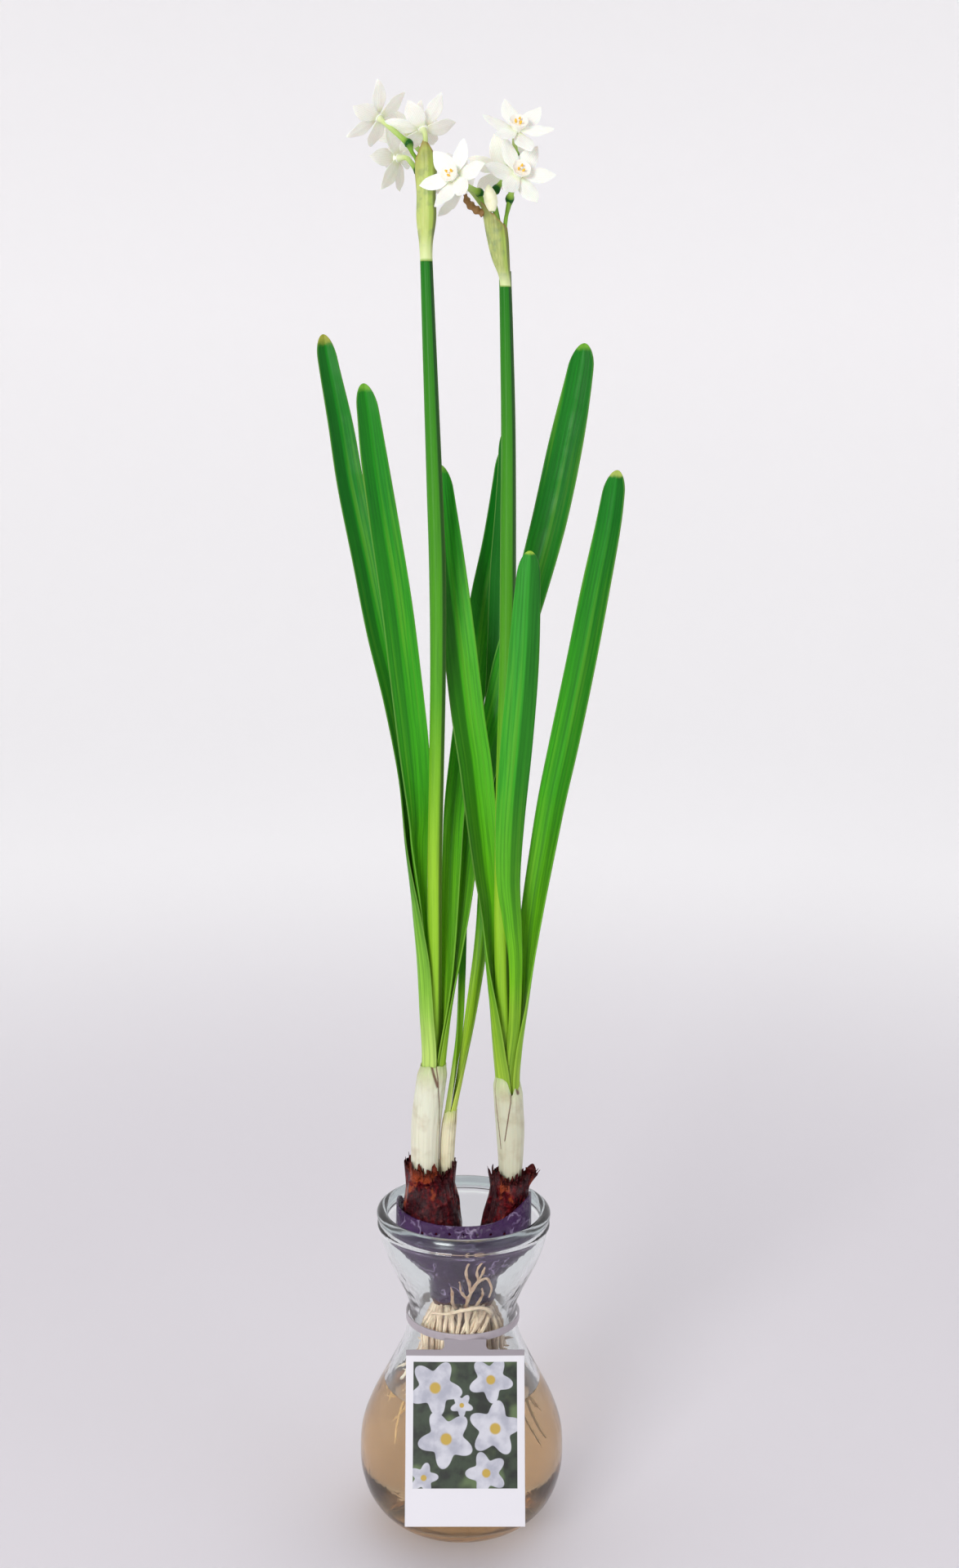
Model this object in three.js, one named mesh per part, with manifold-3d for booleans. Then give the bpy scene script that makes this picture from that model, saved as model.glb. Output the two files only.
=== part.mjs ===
// Two paperwhite narcissus bulbs, flowering in water in a waisted glass bulb vase.
// Millimetres, +Z up. The origin is the middle of the vase's foot and the front faces -Y.
import * as THREE from 'three';
import { mergeVertices } from 'three/addons/utils/BufferGeometryUtils.js';
import Module from 'manifold-3d';

const wasm = await Module();
wasm.setup();

// ---------------------------------------------------------------- driving dimensions

const CLEAR = 0.3; // gap kept between neighbouring pieces

// Vase: outer and inner outlines as [height, radius], joined by smooth curves.
const VASE_SIDES = 26;
const FOOT_RADIUS = 26.5;
const VASE_OUTSIDE = [
  [0.7, 28.6], [5, 36.4], [13, 42.9], [23, 46.5], [33, 47.5], [45, 46.5], [57, 42.4], [69, 36.4],
  [81, 30.3], [90, 26.6], [100, 24.7], [107, 25.1], [113, 27.3], [120, 30.6], [128, 34.4], [136, 37.4],
  [142, 38.6],
];
const VASE_INSIDE = [
  [7, 21], [10, 32], [16, 39.6], [24, 43.1], [33, 44.2], [45, 43.3], [57, 39.2], [69, 33.1],
  [81, 27], [90, 23.2], [100, 21], [107, 21.3], [113, 23.4], [120, 26.8], [128, 30.7], [136, 33.6],
  [146, 34.9],
];
const VASE_STEPS = { outside: 13, inside: 11 };
const VASE_FLOOR = 6;
const BEAD = { height: 144.6, radius: 39.5 }; // ring under the lip
const LIP = { height: 149.5, radius: 37.4, thick: 2.45 }; // rounded rim
const WATER_LEVEL = 66.5;

// Sleeve: a thin oval funnel that wedges in the cup. Rows of [height, half width, half depth].
const SLEEVE_WALL = 0.7;
const SLEEVE_ROWS = [
  [107.5, 15.8, 13.4], [116, 16.6, 14.2], [120.5, 22.2, 15.6], [125, 27.2, 16.8], [129, 30.4, 17.4],
  [138, 31.1, 17.4], [149, 30.9, 16.6],
];
const SLEEVE_SQUARENESS = 2.9; // exponent of the oval
const SLEEVE_RISE = 5.5; // how much higher the top edge stands at the two bulbs
const SLEEVE_HOLES = { count: 14, radius: 0.6, height: 145.5, spacing: 6.2, drill: 80 };

// Neck tag: a loop round the waist, a bridge, and a card that leans out over the belly.
const LOOP = { inside: 25.5, wall: 0.8, bottom: 98, height: 3.6 };
const TAG_LEAN = THREE.MathUtils.degToRad(23.3);
const TAG_THICK = 0.8;
const CARD = { width: 53.3, length: 75.5, side: 1.4, turn: THREE.MathUtils.degToRad(0.6) };
const BRIDGE = { width: 19, length: 3.6, fillet: 1.7, proud: 0.2, raised: 0.4 };

// Bulbs: rows of [height, x, radius] from the basal plate to the neck.
const LEFT_BULB = [
  [106.5, -7.5, 5.6], [109, -7.6, 6.6], [116, -8.1, 6.9], [121, -10.4, 9.6], [127, -13.2, 12.5],
  [134, -14.7, 14], [144, -15, 14.1], [154, -15, 12.6], [161, -15.2, 11.4], [165.5, -15.4, 10.6],
];
const RIGHT_BULB = [
  [106.5, 7.5, 5.6], [109, 7.6, 6.6], [116, 8.1, 6.9], [121, 11, 9.2], [127, 14.6, 11.3],
  [134, 17.2, 11.9], [144, 18.8, 10.7], [154, 20, 9.3], [161, 20.6, 8.7], [165.5, 20.8, 8.4],
];
const BULB_SIDES = 14;
const SOCKET = { floor: 159.7, depth: 24 }; // the sheaths stand in the bulbs' necks
const COLLAR = { sides: 18, wall: 0.9, spikeSpread: 20 }; // torn rim of dry skin; spread in degrees
const LEFT_COLLAR = {
  x: -15.4, y: 0.1, z: 166, halfWidth: 10.9, halfDepth: 8.6, low: 2, high: 7, flare: 0.3, seed: 3,
  spikes: [[165, 9, 0.8], [20, 5, 1.2], [290, 3, 0.4]], // turn in degrees, extra height, extra flare
};
const RIGHT_COLLAR = {
  x: 20.9, y: 0, z: 164.5, halfWidth: 8.4, halfDepth: 7.8, low: 1.5, high: 4.5, flare: 0.4, seed: 8,
  spikes: [[175, 6, 1.4], [5, 3.5, 5.4]],
};

// Sheaths: rows of [height, x, y, half width, half depth]; floor is where the leaf bases stand.
const SHEATH_WALL = 0.6;
const SHEATH_SIDES = 14;
const LEFT_SHEATH = {
  rows: [
    [160, -18, 0, 6.2, 6.2], [184, -17.8, 0, 6.5, 6.4], [197, -17.1, 0, 6.8, 6.7], [221, -14.2, 0, 6.8, 6.8],
  ],
  floor: 197,
};
const OFFSET_SHEATH = {
  rows: [
    [160, -8.7, 0.5, 2.2, 2.2], [178, -8.3, 0.5, 2.3, 2.3], [189, -7.3, 0.5, 2.9, 2.9],
    [199, -6.2, 0.5, 3.4, 3.4],
  ],
  floor: 189,
};
const RIGHT_SHEATH = {
  rows: [
    [160, 21, 0, 4.6, 4.6], [170, 21.2, 0, 5.3, 5.3], [188, 20.9, 0, 6.4, 6.3], [200, 20.1, 0, 6.6, 6.5],
    [211, 19.4, 0, 6.6, 6.6],
  ],
  floor: 188,
};

// Leaves: each is an arched strip. A row holds height, keel x, keel y, width along the arch, the way the
// hollow side faces (degrees from +X towards +Y) and the curl to each side of the keel (degrees).
const LEAF_THICK = 1.3;
const LEAF_BASE_THICK = 0.8;
const LEAF_TIP = 10; // length over which a tip rounds off
const LEAF_THICKENS = [225, 290]; // heights between which the thin base gains its full thickness
const LEAVES = {
  leaf_left_outer: [
    [198, -22.1, 0, 18.7, 0, 105], [221, -19.3, 0, 18.8, 0, 105], [245, -20.4, 0.2, 18.6, -3, 103],
    [268, -21.5, 0.8, 17.6, -6, 98], [292, -23.4, 2.6, 16, -18, 80], [320, -25.4, 5, 15, -40, 62],
    [350, -26.2, 8.2, 14.4, -60, 48], [382, -31.5, 10.6, 13.8, -72, 40], [414, -39.2, 12, 13.3, -78, 36],
    [446, -45.6, 14, 13.2, -80, 34], [478, -52.4, 16, 12.7, -80, 34], [505, -57.1, 17.5, 11.6, -80, 34],
    [530, -62.5, 18.7, 9.4, -80, 36], [543, -64.7, 19, 8, -80, 38],
  ],
  leaf_left_inner: [
    [198, -20.75, 0, 10.5, 0, 80], [221, -17.95, 0, 10.5, 0, 80], [245, -18.9, 0.1, 10, -3, 80],
    [268, -19.8, 0.6, 9.5, -6, 80], [292, -21.5, 2, 10.2, -18, 75], [320, -22.9, 3.4, 12, -42, 60],
    [335, -22.4, 3.2, 14.2, -54, 49], [366, -24.5, 1.3, 15, -72, 38], [398, -27.8, -1.5, 14.8, -80, 34],
    [430, -31.6, -4.6, 14.4, -82, 33], [462, -36.5, -6.6, 13.6, -82, 33], [490, -40.8, -8, 12.2, -82, 34],
    [510, -43.4, -9, 10, -82, 36], [522, -45.2, -9, 8.5, -82, 38],
  ],
  leaf_left_right_inner: [
    [198, -13.15, 0, 9.4, 180, 70], [221, -10.35, 0, 9.4, 180, 70], [253, -7.6, 1.5, 9, 212, 62],
    [274, -6.9, 4.6, 10, 225, 48], [311, -6.2, 9.5, 10.5, 240, 38], [336, -5.9, 16.7, 10.2, 250, 35],
    [360, -4, 26.2, 10.2, 262, 33], [383, 0.8, 31.8, 13.4, 268, 31], [406, 3.2, 35.6, 13, 270, 30],
    [430, 6.2, 37.6, 12, 270, 30], [455, 10.7, 38.8, 10.6, 270, 30], [482, 14, 39.6, 8.6, 270, 32],
    [495, 14.6, 39.8, 7, 270, 34],
  ],
  leaf_left_right_outer: [
    [198, -11.9, 0, 10.7, 180, 60], [221, -9.1, 0, 10.7, 180, 60], [253, -6.4, 2.9, 11.5, 212, 56],
    [271, -4.4, 6, 12, 226, 49], [295, -1.6, 10.4, 12.5, 238, 42], [317, 0.6, 14, 13, 244, 38],
    [339, 4.6, 18, 13.8, 246, 36], [361, 9.2, 21, 14.4, 249, 35], [383, 14.5, 23.6, 15, 250, 35],
    [403, 19, 25.2, 15.8, 250, 34], [430, 27, 27.4, 16.4, 252, 32], [463, 35.3, 30.6, 17, 256, 28],
    [498, 42.3, 34, 16.2, 258, 26], [527, 47.6, 36, 12.6, 258, 27], [541, 49.4, 36.3, 9.6, 258, 30],
  ],
  leaf_offset_tall: [
    [190, -5.8, 0.5, 3.9, 180, 74], [199, -4.2, 0.5, 5, 180, 74], [217, -0.7, 1.6, 7, 200, 76],
    [236, 2.4, 3.6, 7.8, 218, 60], [258, 5.2, 8, 7.2, 236, 48], [273, 6.9, 10.8, 7, 243, 43],
    [290, 8.2, 13.6, 7.2, 248, 40], [325, 9.9, 19.6, 8.4, 254, 35], [362, 11.5, 26.4, 9.6, 257, 32],
    [405, 13.2, 31, 10.8, 258, 30], [441, 14, 32.6, 10.4, 258, 30], [468, 15.5, 33, 9.6, 258, 30],
    [490, 15.6, 33.2, 7.4, 258, 32], [502, 14.6, 33.4, 6, 258, 34],
  ],
  leaf_offset_short: [
    [190, -8.7, 0.5, 3.9, 0, 74], [199, -8.2, 0.5, 5, 0, 74], [217, -5.9, 1, 6.4, -12, 70],
    [236, -3.4, 3.2, 5.4, -32, 60], [258, -2.2, 7.8, 4.2, -52, 48], [273, -1.8, 11.8, 3.8, -64, 42],
    [300, -1.2, 18.6, 3.4, -76, 34],
  ],
  leaf_right_left: [
    [189, 16.1, 0, 17.8, 0, 105], [211, 14.4, 0, 18.3, 0, 105], [228, 12.8, 0.4, 18.2, -8, 98],
    [246, 11.7, 1.4, 17.4, -20, 86], [268, 10.6, 3.3, 16.4, -38, 70], [291, 10.4, 5.6, 15.8, -56, 55],
    [310, 8.2, 6.8, 15.6, -66, 47], [335, 5.3, 8, 15.7, -73, 41], [357, 2.8, 9.2, 16, -78, 38],
    [379, -0.6, 10.3, 16, -80, 36], [414, -5, 12.6, 15.6, -82, 35], [447, -9.4, 15, 14.6, -82, 34],
    [475, -12.6, 16.4, 11.4, -82, 35], [488, -13.6, 17, 8.6, -82, 38],
  ],
  leaf_right_front: [
    [189, 20.9, -3.35, 7, 90, 60], [211, 19.6, -3.5, 7.4, 90, 60], [238, 21.9, -4.4, 5.8, 90, 47],
    [268, 22.2, -5.3, 6.4, 90, 40], [288, 20.4, -6, 8.8, 90, 38], [308, 18.4, -6.7, 11.2, 90, 36],
    [334, 18.8, -7.7, 13.4, 90, 34], [368, 21.1, -9.6, 14.8, 90, 34], [400, 23.2, -11, 14.6, 90, 34],
    [425, 24.4, -12, 12.9, 90, 34], [443, 25.1, -12.8, 10.6, 90, 36], [453, 25.5, -13, 9, 90, 38],
  ],
  leaf_right_outer: [
    [189, 25.8, 0, 10.7, 180, 62], [211, 24.5, 0, 11.1, 180, 63], [228, 25.4, 0.3, 12, 186, 62],
    [250, 27.4, 1.3, 12.1, 205, 58], [275, 29, 2.5, 12.6, 225, 50], [295, 31, 2.9, 13, 236, 44],
    [318, 34.2, 2.7, 13.6, 242, 39], [343, 38, 1.9, 14.2, 247, 36], [368, 42.7, 1, 14.7, 250, 35],
    [404, 49.3, -1, 14.5, 250, 35], [437, 54.9, -3, 13.8, 250, 35], [463, 59.4, -4.5, 12.2, 250, 36],
    [478, 61.4, -5, 10.6, 250, 37], [487, 62.4, -5, 9.2, 250, 38],
  ],
};

// Flower stems: rows of [height, x, y, half width]; the last row is where the flower stalks part.
const STEM = { depth: 0.82, ridge: 0.25, sides: 8 }; // depth of the section against its width; side ridges
const LEFT_STEM = [
  [198, -17, 0, 2.7], [221, -14.2, 0, 2.8], [267, -14, 0, 2.85], [312, -14.3, 0, 2.9], [355, -13.8, 0, 2.95],
  [400, -13.4, 0, 3.1], [443, -13.9, 0, 3.3], [480, -15.4, 0, 3.1], [540, -18, 0, 2.6], [580, -19.7, 0, 2.2],
];
const RIGHT_STEM = [
  [189, 20.9, 0.2, 2.6], [211, 19.4, 0.2, 2.8], [240, 17.4, 0.3, 2.9], [275, 15.9, 0.8, 3],
  [316, 15.7, 1.4, 3.1], [357, 16, 2, 3.15], [400, 16.8, 2.6, 3.2], [443, 16.6, 3, 3.15],
  [500, 16, 3, 2.8], [540, 14.8, 2.4, 2.5], [569, 13.7, 1.6, 2.2],
];

// Florets: middle of the petals, the way the flower faces, its turn, the middle of its ovary and a point
// that its stalk passes inside the spathe.
const FLORET_RADIUS = 15.8;
const FLORET_BACK = 2.4; // from the middle of the petals to where the tube ends
// Petals, outer and inner in turn. Rows hold the distance along a petal and the share of its half width.
const PETAL = { thick: 0.7, rows: [[1.4, 0.3], [6.6, 0.9], [11.5, 0.95], [FLORET_RADIUS, 0.1]] };
const OUTER_PETAL = { halfWidth: 4.3, base: -1.9 };
const INNER_PETAL = { halfWidth: 3.9, base: -0.7 };
const PETAL_LIFT = 0.012; // curve of a petal along its length
const PETAL_ARCH = 0.02; // and across it
// Cup of a floret as [radius, height]: out over the rim, down inside and over the stigma.
const CUP = [
  [0, -FLORET_BACK], [1.9, -FLORET_BACK], [2.4, 0.1], [3.1, 1], [3.8, 3.8], [3.1, 3.8], [2.3, 1.2], [0.9, 1],
  [0.9, 2.6], [0, 2.6],
];
const ANTHER = { out: 1.1, height: 2.9, halfWidth: 0.75, halfLength: 1.5 };
// Floret stalk: radii at the stem top, the via point, below, in and above the ovary, tube and end.
const STALK_RADII = [0.95, 0.8, 0.95, 1.9, 1.2, 1.1, 1.6];
const STALK_RINGS = [0, 1, 2, 2.5, 3, 3.5, 4.3, 6];
const STALK_SIDES = 5;
const LEFT_FLORETS = {
  floret_left_1: {
    at: [-40.6, 5, 631.6], faces: [-0.62, 0.52, 0.58], turn: -2,
    ovary: [-32.6, -3.2, 618.6], via: [-21, -0.6, 598],
  },
  floret_left_2: {
    at: [-21.5, 1, 627], faces: [-0.23, 0.65, 0.72], turn: 16,
    ovary: [-20, 3, 609.5], via: [-19, -1.1, 597],
  },
  floret_left_3: {
    at: [-33.5, 12.5, 615.5], faces: [-0.84, 0.54, 0.06], turn: 55,
    ovary: [-23, 2, 609], via: [-20.4, 1.2, 596],
  },
  floret_left_4: {
    at: [-29, 28, 628.5], faces: [-0.3, 0.66, 0.69], turn: 7,
    ovary: [-19.5, 13, 615.5], via: [-18.6, 1.2, 597],
  },
};
const RIGHT_FLORETS = {
  floret_right_1: {
    at: [18, -4, 626.5], faces: [0.16, -0.68, 0.72], turn: 56,
    ovary: [17.5, 6.5, 616], via: [13.6, 3, 588],
  },
  floret_right_2: {
    at: [19, -8, 608], faces: [0.28, -0.84, 0.47], turn: 71,
    ovary: [15.3, 5, 598.6], via: [13.4, 0.6, 587],
  },
  floret_right_3: {
    at: [-8.5, -16.5, 605.5], faces: [-0.51, -0.8, 0.32], turn: -16,
    ovary: [2.7, -3.7, 600], via: [10, -1.6, 590.5],
  },
  floret_right_4: {
    at: [-7, 11.5, 605], faces: [-0.84, 0.43, 0.34], turn: 49,
    ovary: [6, 3.5, 593.5], via: [10.6, 2.2, 583],
  },
  floret_right_5: {
    at: [12.5, 13, 612], faces: [-0.12, 0.75, 0.65], turn: 19,
    ovary: [11.5, 3.5, 600], via: [12, 3, 585],
  },
};
// Bud: its rings are pairs of the share of the way up and the share of the radius.
const BUD_RINGS = [[0, 0.45], [0.12, 0.7], [0.35, 1], [0.65, 0.92], [0.88, 0.5], [1, 0.12]];
const BUD = { bottom: [7.9, -8.6, 592], top: [6.3, -9.2, 602.5], radius: 2.7, via: [9.8, -2.8, 586.5] };

// Spathes: rows of [height, x, y, radius]. The rim stands highest on one side (peak, degrees).
const SPATHE_WALL = 0.65;
const LEFT_SPATHE = {
  rows: [
    [571, -19.4, 0, 3.6], [580, -19.7, 0, 3.8], [590, -19.5, 0, 4.2], [604, -19.6, -0.2, 4.4],
    [621, -20.8, -0.6, 3.6],
  ],
  low: 0.52, peak: -80, sharp: 5,
};
const RIGHT_SPATHE = {
  rows: [
    [561, 14, 1.8, 3.7], [568, 13.5, 1.5, 4.1], [575, 12.1, 1.2, 4.8], [584, 10.4, 1, 5.4],
    [596, 8.2, 0.6, 5.2],
  ],
  low: 0.44, peak: 195, sharp: 2,
};

// Roots: strands from the basal plate, through the waist, into the water.
const ROOT_SEED = 11;
const ROOT_TOP = 105.6;
const ROOTS_EACH_SIDE = 12;
const ROOT_PLATE = { x: 7.5, radius: 5, thick: 1.6, sides: 10, start: 3.6 }; // strands start at this radius
const ROOT_RADII = [1, 0.95, 0.9, 0.8, 0.6]; // from the plate to the end
const ROOT_DEPTHS = [44, 60, 34, 80, 52, 26]; // heights at which the strands end, in turn
const ROOT_WAIST = { radius: 17.5, height: 97, below: 84 };
const ROOT_KEEP = 1.6; // least distance from the middle, so that the two root masses stay apart
const CROSSING_ROOT = [
  [10, -3, 105.2], [11.8, -11.5, 105.2], [12, -16.4, 109.5], [8, -18.6, 112.6], [1, -19.2, 111.6],
  [-7, -18.2, 109.2], [-13, -14.6, 108],
];
const CROSSING_RADII = [0.9, 0.9, 0.9, 0.8, 0.8, 0.7, 0.5];

// ---------------------------------------------------------------- colours

const finish = (color, roughness) => new THREE.MeshStandardMaterial({ color, roughness, metalness: 0 });
const clearGlass = finish(0xdfe8e6, 0.04);
clearGlass.transparent = true;
clearGlass.opacity = 0.35;
const water = finish(0xb89468, 0.06);
water.transparent = true;
water.opacity = 0.6;
const COLOURS = {
  sleeve: finish(0x6a5680, 0.3),
  tag: finish(0xe2e2e6, 0.4),
  tunic: finish(0x5c2a1c, 0.55),
  root: finish(0xe2d2ac, 0.6),
  sheath: finish(0xdde2c4, 0.45),
  leaf: finish(0x3b8c2c, 0.45),
  youngLeaf: finish(0x7fae3a, 0.45),
  stem: finish(0x4f9a35, 0.42),
  spathe: finish(0xb5bf87, 0.6),
  petal: finish(0xf6f6f4, 0.5),
  bud: finish(0xf1f0cf, 0.5),
};

// ---------------------------------------------------------------- geometry helpers

const vec = (x, y, z) => new THREE.Vector3(x, y, z);
const radians = THREE.MathUtils.degToRad;

/** Keeps only merged positions and drops triangles that have shrunk to a line. */
function tidy(geometry) {
  geometry.deleteAttribute('normal');
  geometry.deleteAttribute('uv');
  const merged = mergeVertices(geometry, 1e-4);
  const index = merged.getIndex().array;
  const kept = [];
  for (let i = 0; i < index.length; i += 3) {
    const [a, b, c] = [index[i], index[i + 1], index[i + 2]];
    if (a !== b && b !== c && c !== a) kept.push(a, b, c);
  }
  merged.setIndex(kept);
  return merged;
}

/** Turns a closed geometry into a solid for joining and cutting. */
function solid(geometry) {
  const closed = tidy(geometry);
  return new wasm.Manifold(new wasm.Mesh({
    numProp: 3,
    vertProperties: new Float32Array(closed.attributes.position.array),
    triVerts: new Uint32Array(closed.getIndex().array),
  }));
}

/** Turns a joined or cut solid back into a geometry. */
function geometryOf(body) {
  const mesh = body.getMesh();
  const geometry = new THREE.BufferGeometry();
  geometry.setAttribute('position', new THREE.BufferAttribute(new Float32Array(mesh.vertProperties), 3));
  geometry.setIndex([...mesh.triVerts]);
  return geometry;
}

/** Joins several closed geometries into one. */
function join(geometries) {
  return geometryOf(geometries.map(solid).reduce((all, one) => all.add(one)));
}

/** Smooth values through rows of numbers, read at a fractional row number. */
function smoothRows(rows, at) {
  const last = rows.length - 1;
  const i = Math.min(Math.floor(at), last - 1);
  const t = at - i;
  const [a, b, c, d] = [rows[Math.max(i - 1, 0)], rows[i], rows[i + 1], rows[Math.min(i + 2, last)]];
  return b.map((_, k) => {
    const bend = (2 * a[k] - 5 * b[k] + 4 * c[k] - d[k]) * t + (3 * b[k] - a[k] - 3 * c[k] + d[k]) * t * t;
    return b[k] + 0.5 * t * (c[k] - a[k] + bend);
  });
}

/** Solid between rings of equally many points, with its two ends capped. */
function loft(rings) {
  const count = rings[0].length;
  const points = rings.flat();
  const index = [];
  for (let i = 0; i < rings.length - 1; i += 1) {
    for (let j = 0; j < count; j += 1) {
      const [a, b] = [i * count + j, i * count + ((j + 1) % count)];
      index.push(a, b, b + count, a, b + count, a + count);
    }
  }
  const capEnd = (start, upwards) => {
    const middle = points.length;
    const centre = vec(0, 0, 0);
    for (let j = 0; j < count; j += 1) centre.addScaledVector(points[start + j], 1 / count);
    points.push(centre);
    for (let j = 0; j < count; j += 1) {
      const [a, b] = [start + j, start + ((j + 1) % count)];
      index.push(middle, upwards ? a : b, upwards ? b : a);
    }
  };
  capEnd(0, false);
  capEnd((rings.length - 1) * count, true);
  return new THREE.BufferGeometry().setFromPoints(points).setIndex(index);
}

/** Closed tube wall: rings joined in a loop, the last back to the first. */
function ringWall(rings) {
  const count = rings[0].length;
  const index = [];
  for (let i = 0; i < rings.length; i += 1) {
    const next = (i + 1) % rings.length;
    for (let j = 0; j < count; j += 1) {
      const k = (j + 1) % count;
      const [a, b, c, d] = [i * count + j, i * count + k, next * count + k, next * count + j];
      index.push(a, b, c, a, c, d);
    }
  }
  return new THREE.BufferGeometry().setFromPoints(rings.flat()).setIndex(index);
}

/** Thin solid between two grids of points, split into triangles alike on both faces. */
function sheetSolid(front, back) {
  const [rows, columns] = [front.length, front[0].length];
  const points = [...front.flat(), ...back.flat()];
  const f = (i, j) => i * columns + j;
  const b = (i, j) => rows * columns + i * columns + j;
  const index = [];
  const quad = (p, q, r, s) => index.push(p, q, r, p, r, s);
  for (let i = 0; i < rows - 1; i += 1) {
    for (let j = 0; j < columns - 1; j += 1) {
      quad(f(i, j), f(i, j + 1), f(i + 1, j + 1), f(i + 1, j));
      index.push(b(i, j), b(i + 1, j + 1), b(i, j + 1), b(i, j), b(i + 1, j), b(i + 1, j + 1));
    }
    quad(b(i, 0), f(i, 0), f(i + 1, 0), b(i + 1, 0));
    quad(f(i, columns - 1), b(i, columns - 1), b(i + 1, columns - 1), f(i + 1, columns - 1));
  }
  for (let j = 0; j < columns - 1; j += 1) {
    quad(f(0, j + 1), f(0, j), b(0, j), b(0, j + 1));
    quad(f(rows - 1, j), f(rows - 1, j + 1), b(rows - 1, j + 1), b(rows - 1, j));
  }
  return new THREE.BufferGeometry().setFromPoints(points).setIndex(index);
}

/** Horizontal oval ring of points; squareness 2 is an ellipse. */
function oval(z, x, y, halfWidth, halfDepth, sides, squareness = 2) {
  const power = 2 / squareness;
  return Array.from({ length: sides }, (_, j) => {
    const angle = (2 * Math.PI * j) / sides;
    const [c, s] = [Math.cos(angle), Math.sin(angle)];
    const across = halfWidth * Math.sign(c) * Math.abs(c) ** power;
    const along = halfDepth * Math.sign(s) * Math.abs(s) ** power;
    return vec(x + across, y + along, z);
  });
}

/** Tapered round strand along a smooth curve; grow makes it that much wider, and longer at its end. */
function strand(points, radii, steps, sides, grow = 0) {
  const curve = new THREE.CatmullRomCurve3(points.map((p) => vec(...p)));
  const frames = curve.computeFrenetFrames(steps);
  const rows = radii.map((radius) => [radius]);
  const rings = [];
  for (let i = 0; i <= steps; i += 1) {
    const middle = curve.getPointAt(i / steps);
    if (i === steps) middle.addScaledVector(frames.tangents[i], grow);
    const radius = smoothRows(rows, (i / steps) * (radii.length - 1))[0] + grow;
    rings.push(Array.from({ length: sides }, (_, j) => {
      const angle = (2 * Math.PI * j) / sides;
      return middle.clone()
        .addScaledVector(frames.normals[i], radius * Math.cos(angle))
        .addScaledVector(frames.binormals[i], radius * Math.sin(angle));
    }));
  }
  return loft(rings);
}

/** Solid turned about the upright axis from a profile of [radius, height] that starts and ends on it. */
function turned(profile, sides) {
  const points = profile.map(([radius, height]) => new THREE.Vector2(radius, height));
  return new THREE.LatheGeometry(points, sides).rotateX(Math.PI / 2);
}

/** Smooth outline through points of [height, radius], as [radius, height] pairs. */
function outline(points, steps) {
  const curve = new THREE.SplineCurve(points.map(([height, radius]) => new THREE.Vector2(radius, height)));
  return curve.getPoints(steps).map((p) => [p.x, p.y]);
}

/** Repeatable random numbers between 0 and 1. */
function randomNumbers(seed) {
  let state = seed;
  return () => {
    state = (state * 1664525 + 1013904223) % 4294967296;
    return state / 4294967296;
  };
}

// ---------------------------------------------------------------- the part

const group = new THREE.Group();

function addPiece(name, geometry, material) {
  const mesh = new THREE.Mesh(geometry, material);
  mesh.name = name;
  group.add(mesh);
}

// ---- Vase and water

const insideOutline = outline(VASE_INSIDE, VASE_STEPS.inside);

function vaseGeometry() {
  const lip = [];
  for (let i = 0; i <= 4; i += 1) {
    const angle = radians(-35 + 62 * i);
    lip.push([LIP.radius + LIP.thick * Math.cos(angle), LIP.height + LIP.thick * Math.sin(angle)]);
  }
  const profile = [
    [0, 0], [FOOT_RADIUS, 0],
    ...outline(VASE_OUTSIDE, VASE_STEPS.outside),
    [BEAD.radius, BEAD.height], [BEAD.radius - 0.4, BEAD.height + 1.4],
    ...lip,
    ...[...insideOutline].reverse(),
    [0, VASE_FLOOR],
  ];
  return turned(profile, VASE_SIDES);
}

/** Radius of the vase's inner face at a height. */
function insideRadius(height) {
  const i = insideOutline.findIndex(([, z]) => z > height);
  const [[r0, z0], [r1, z1]] = [insideOutline[i - 1], insideOutline[i]];
  return r0 + ((r1 - r0) * (height - z0)) / (z1 - z0);
}

function waterGeometry(strands) {
  const wall = insideOutline.filter(([, height]) => height < WATER_LEVEL - 2);
  const side = wall.map(([r, z], i) => [r - (i === 0 ? 1 : 1.4) * CLEAR, z + (z < 30 ? CLEAR : 0)]);
  side.push([insideRadius(WATER_LEVEL) - 1.4 * CLEAR, WATER_LEVEL]);
  const body = solid(turned([[0, VASE_FLOOR + CLEAR], ...side, [0, WATER_LEVEL]], VASE_SIDES));
  return geometryOf(strands.reduce((rest, one) => rest.subtract(solid(one)), body));
}

// ---- Bulb sleeve

/** How much of the sleeve's rise its top edge has, at a turn round the oval: full at the two bulbs. */
function sleeveLift(angle) {
  return Math.abs(Math.cos(angle)) ** 1.5;
}

function sleeveRing(at, inset, sides) {
  const [z, halfWidth, halfDepth] = smoothRows(SLEEVE_ROWS, at);
  const share = Math.max(0, (at - 5) / (SLEEVE_ROWS.length - 6));
  const ring = oval(z, 0, 0, halfWidth - inset, halfDepth - inset, sides, SLEEVE_SQUARENESS);
  ring.forEach((point, j) => {
    point.z += share * SLEEVE_RISE * sleeveLift((2 * Math.PI * j) / sides);
  });
  return ring;
}

function sleeveGeometry() {
  const sides = 24;
  const levels = [0, 1, 2, 3, 4, 5, 6];
  const outside = levels.map((at) => sleeveRing(at, 0, sides));
  const inside = levels.map((at) => sleeveRing(at, SLEEVE_WALL, sides)).reverse();
  const { count, radius, height, spacing, drill } = SLEEVE_HOLES;
  let body = solid(ringWall([...outside, ...inside]));
  for (let k = 0; k < count / 2; k += 1) {
    const pin = new THREE.CylinderGeometry(radius, radius, drill, 5);
    pin.translate((k - (count / 2 - 1) / 2) * spacing, 0, height);
    body = body.subtract(solid(pin));
  }
  return geometryOf(body);
}

// ---- Neck tag

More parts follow.
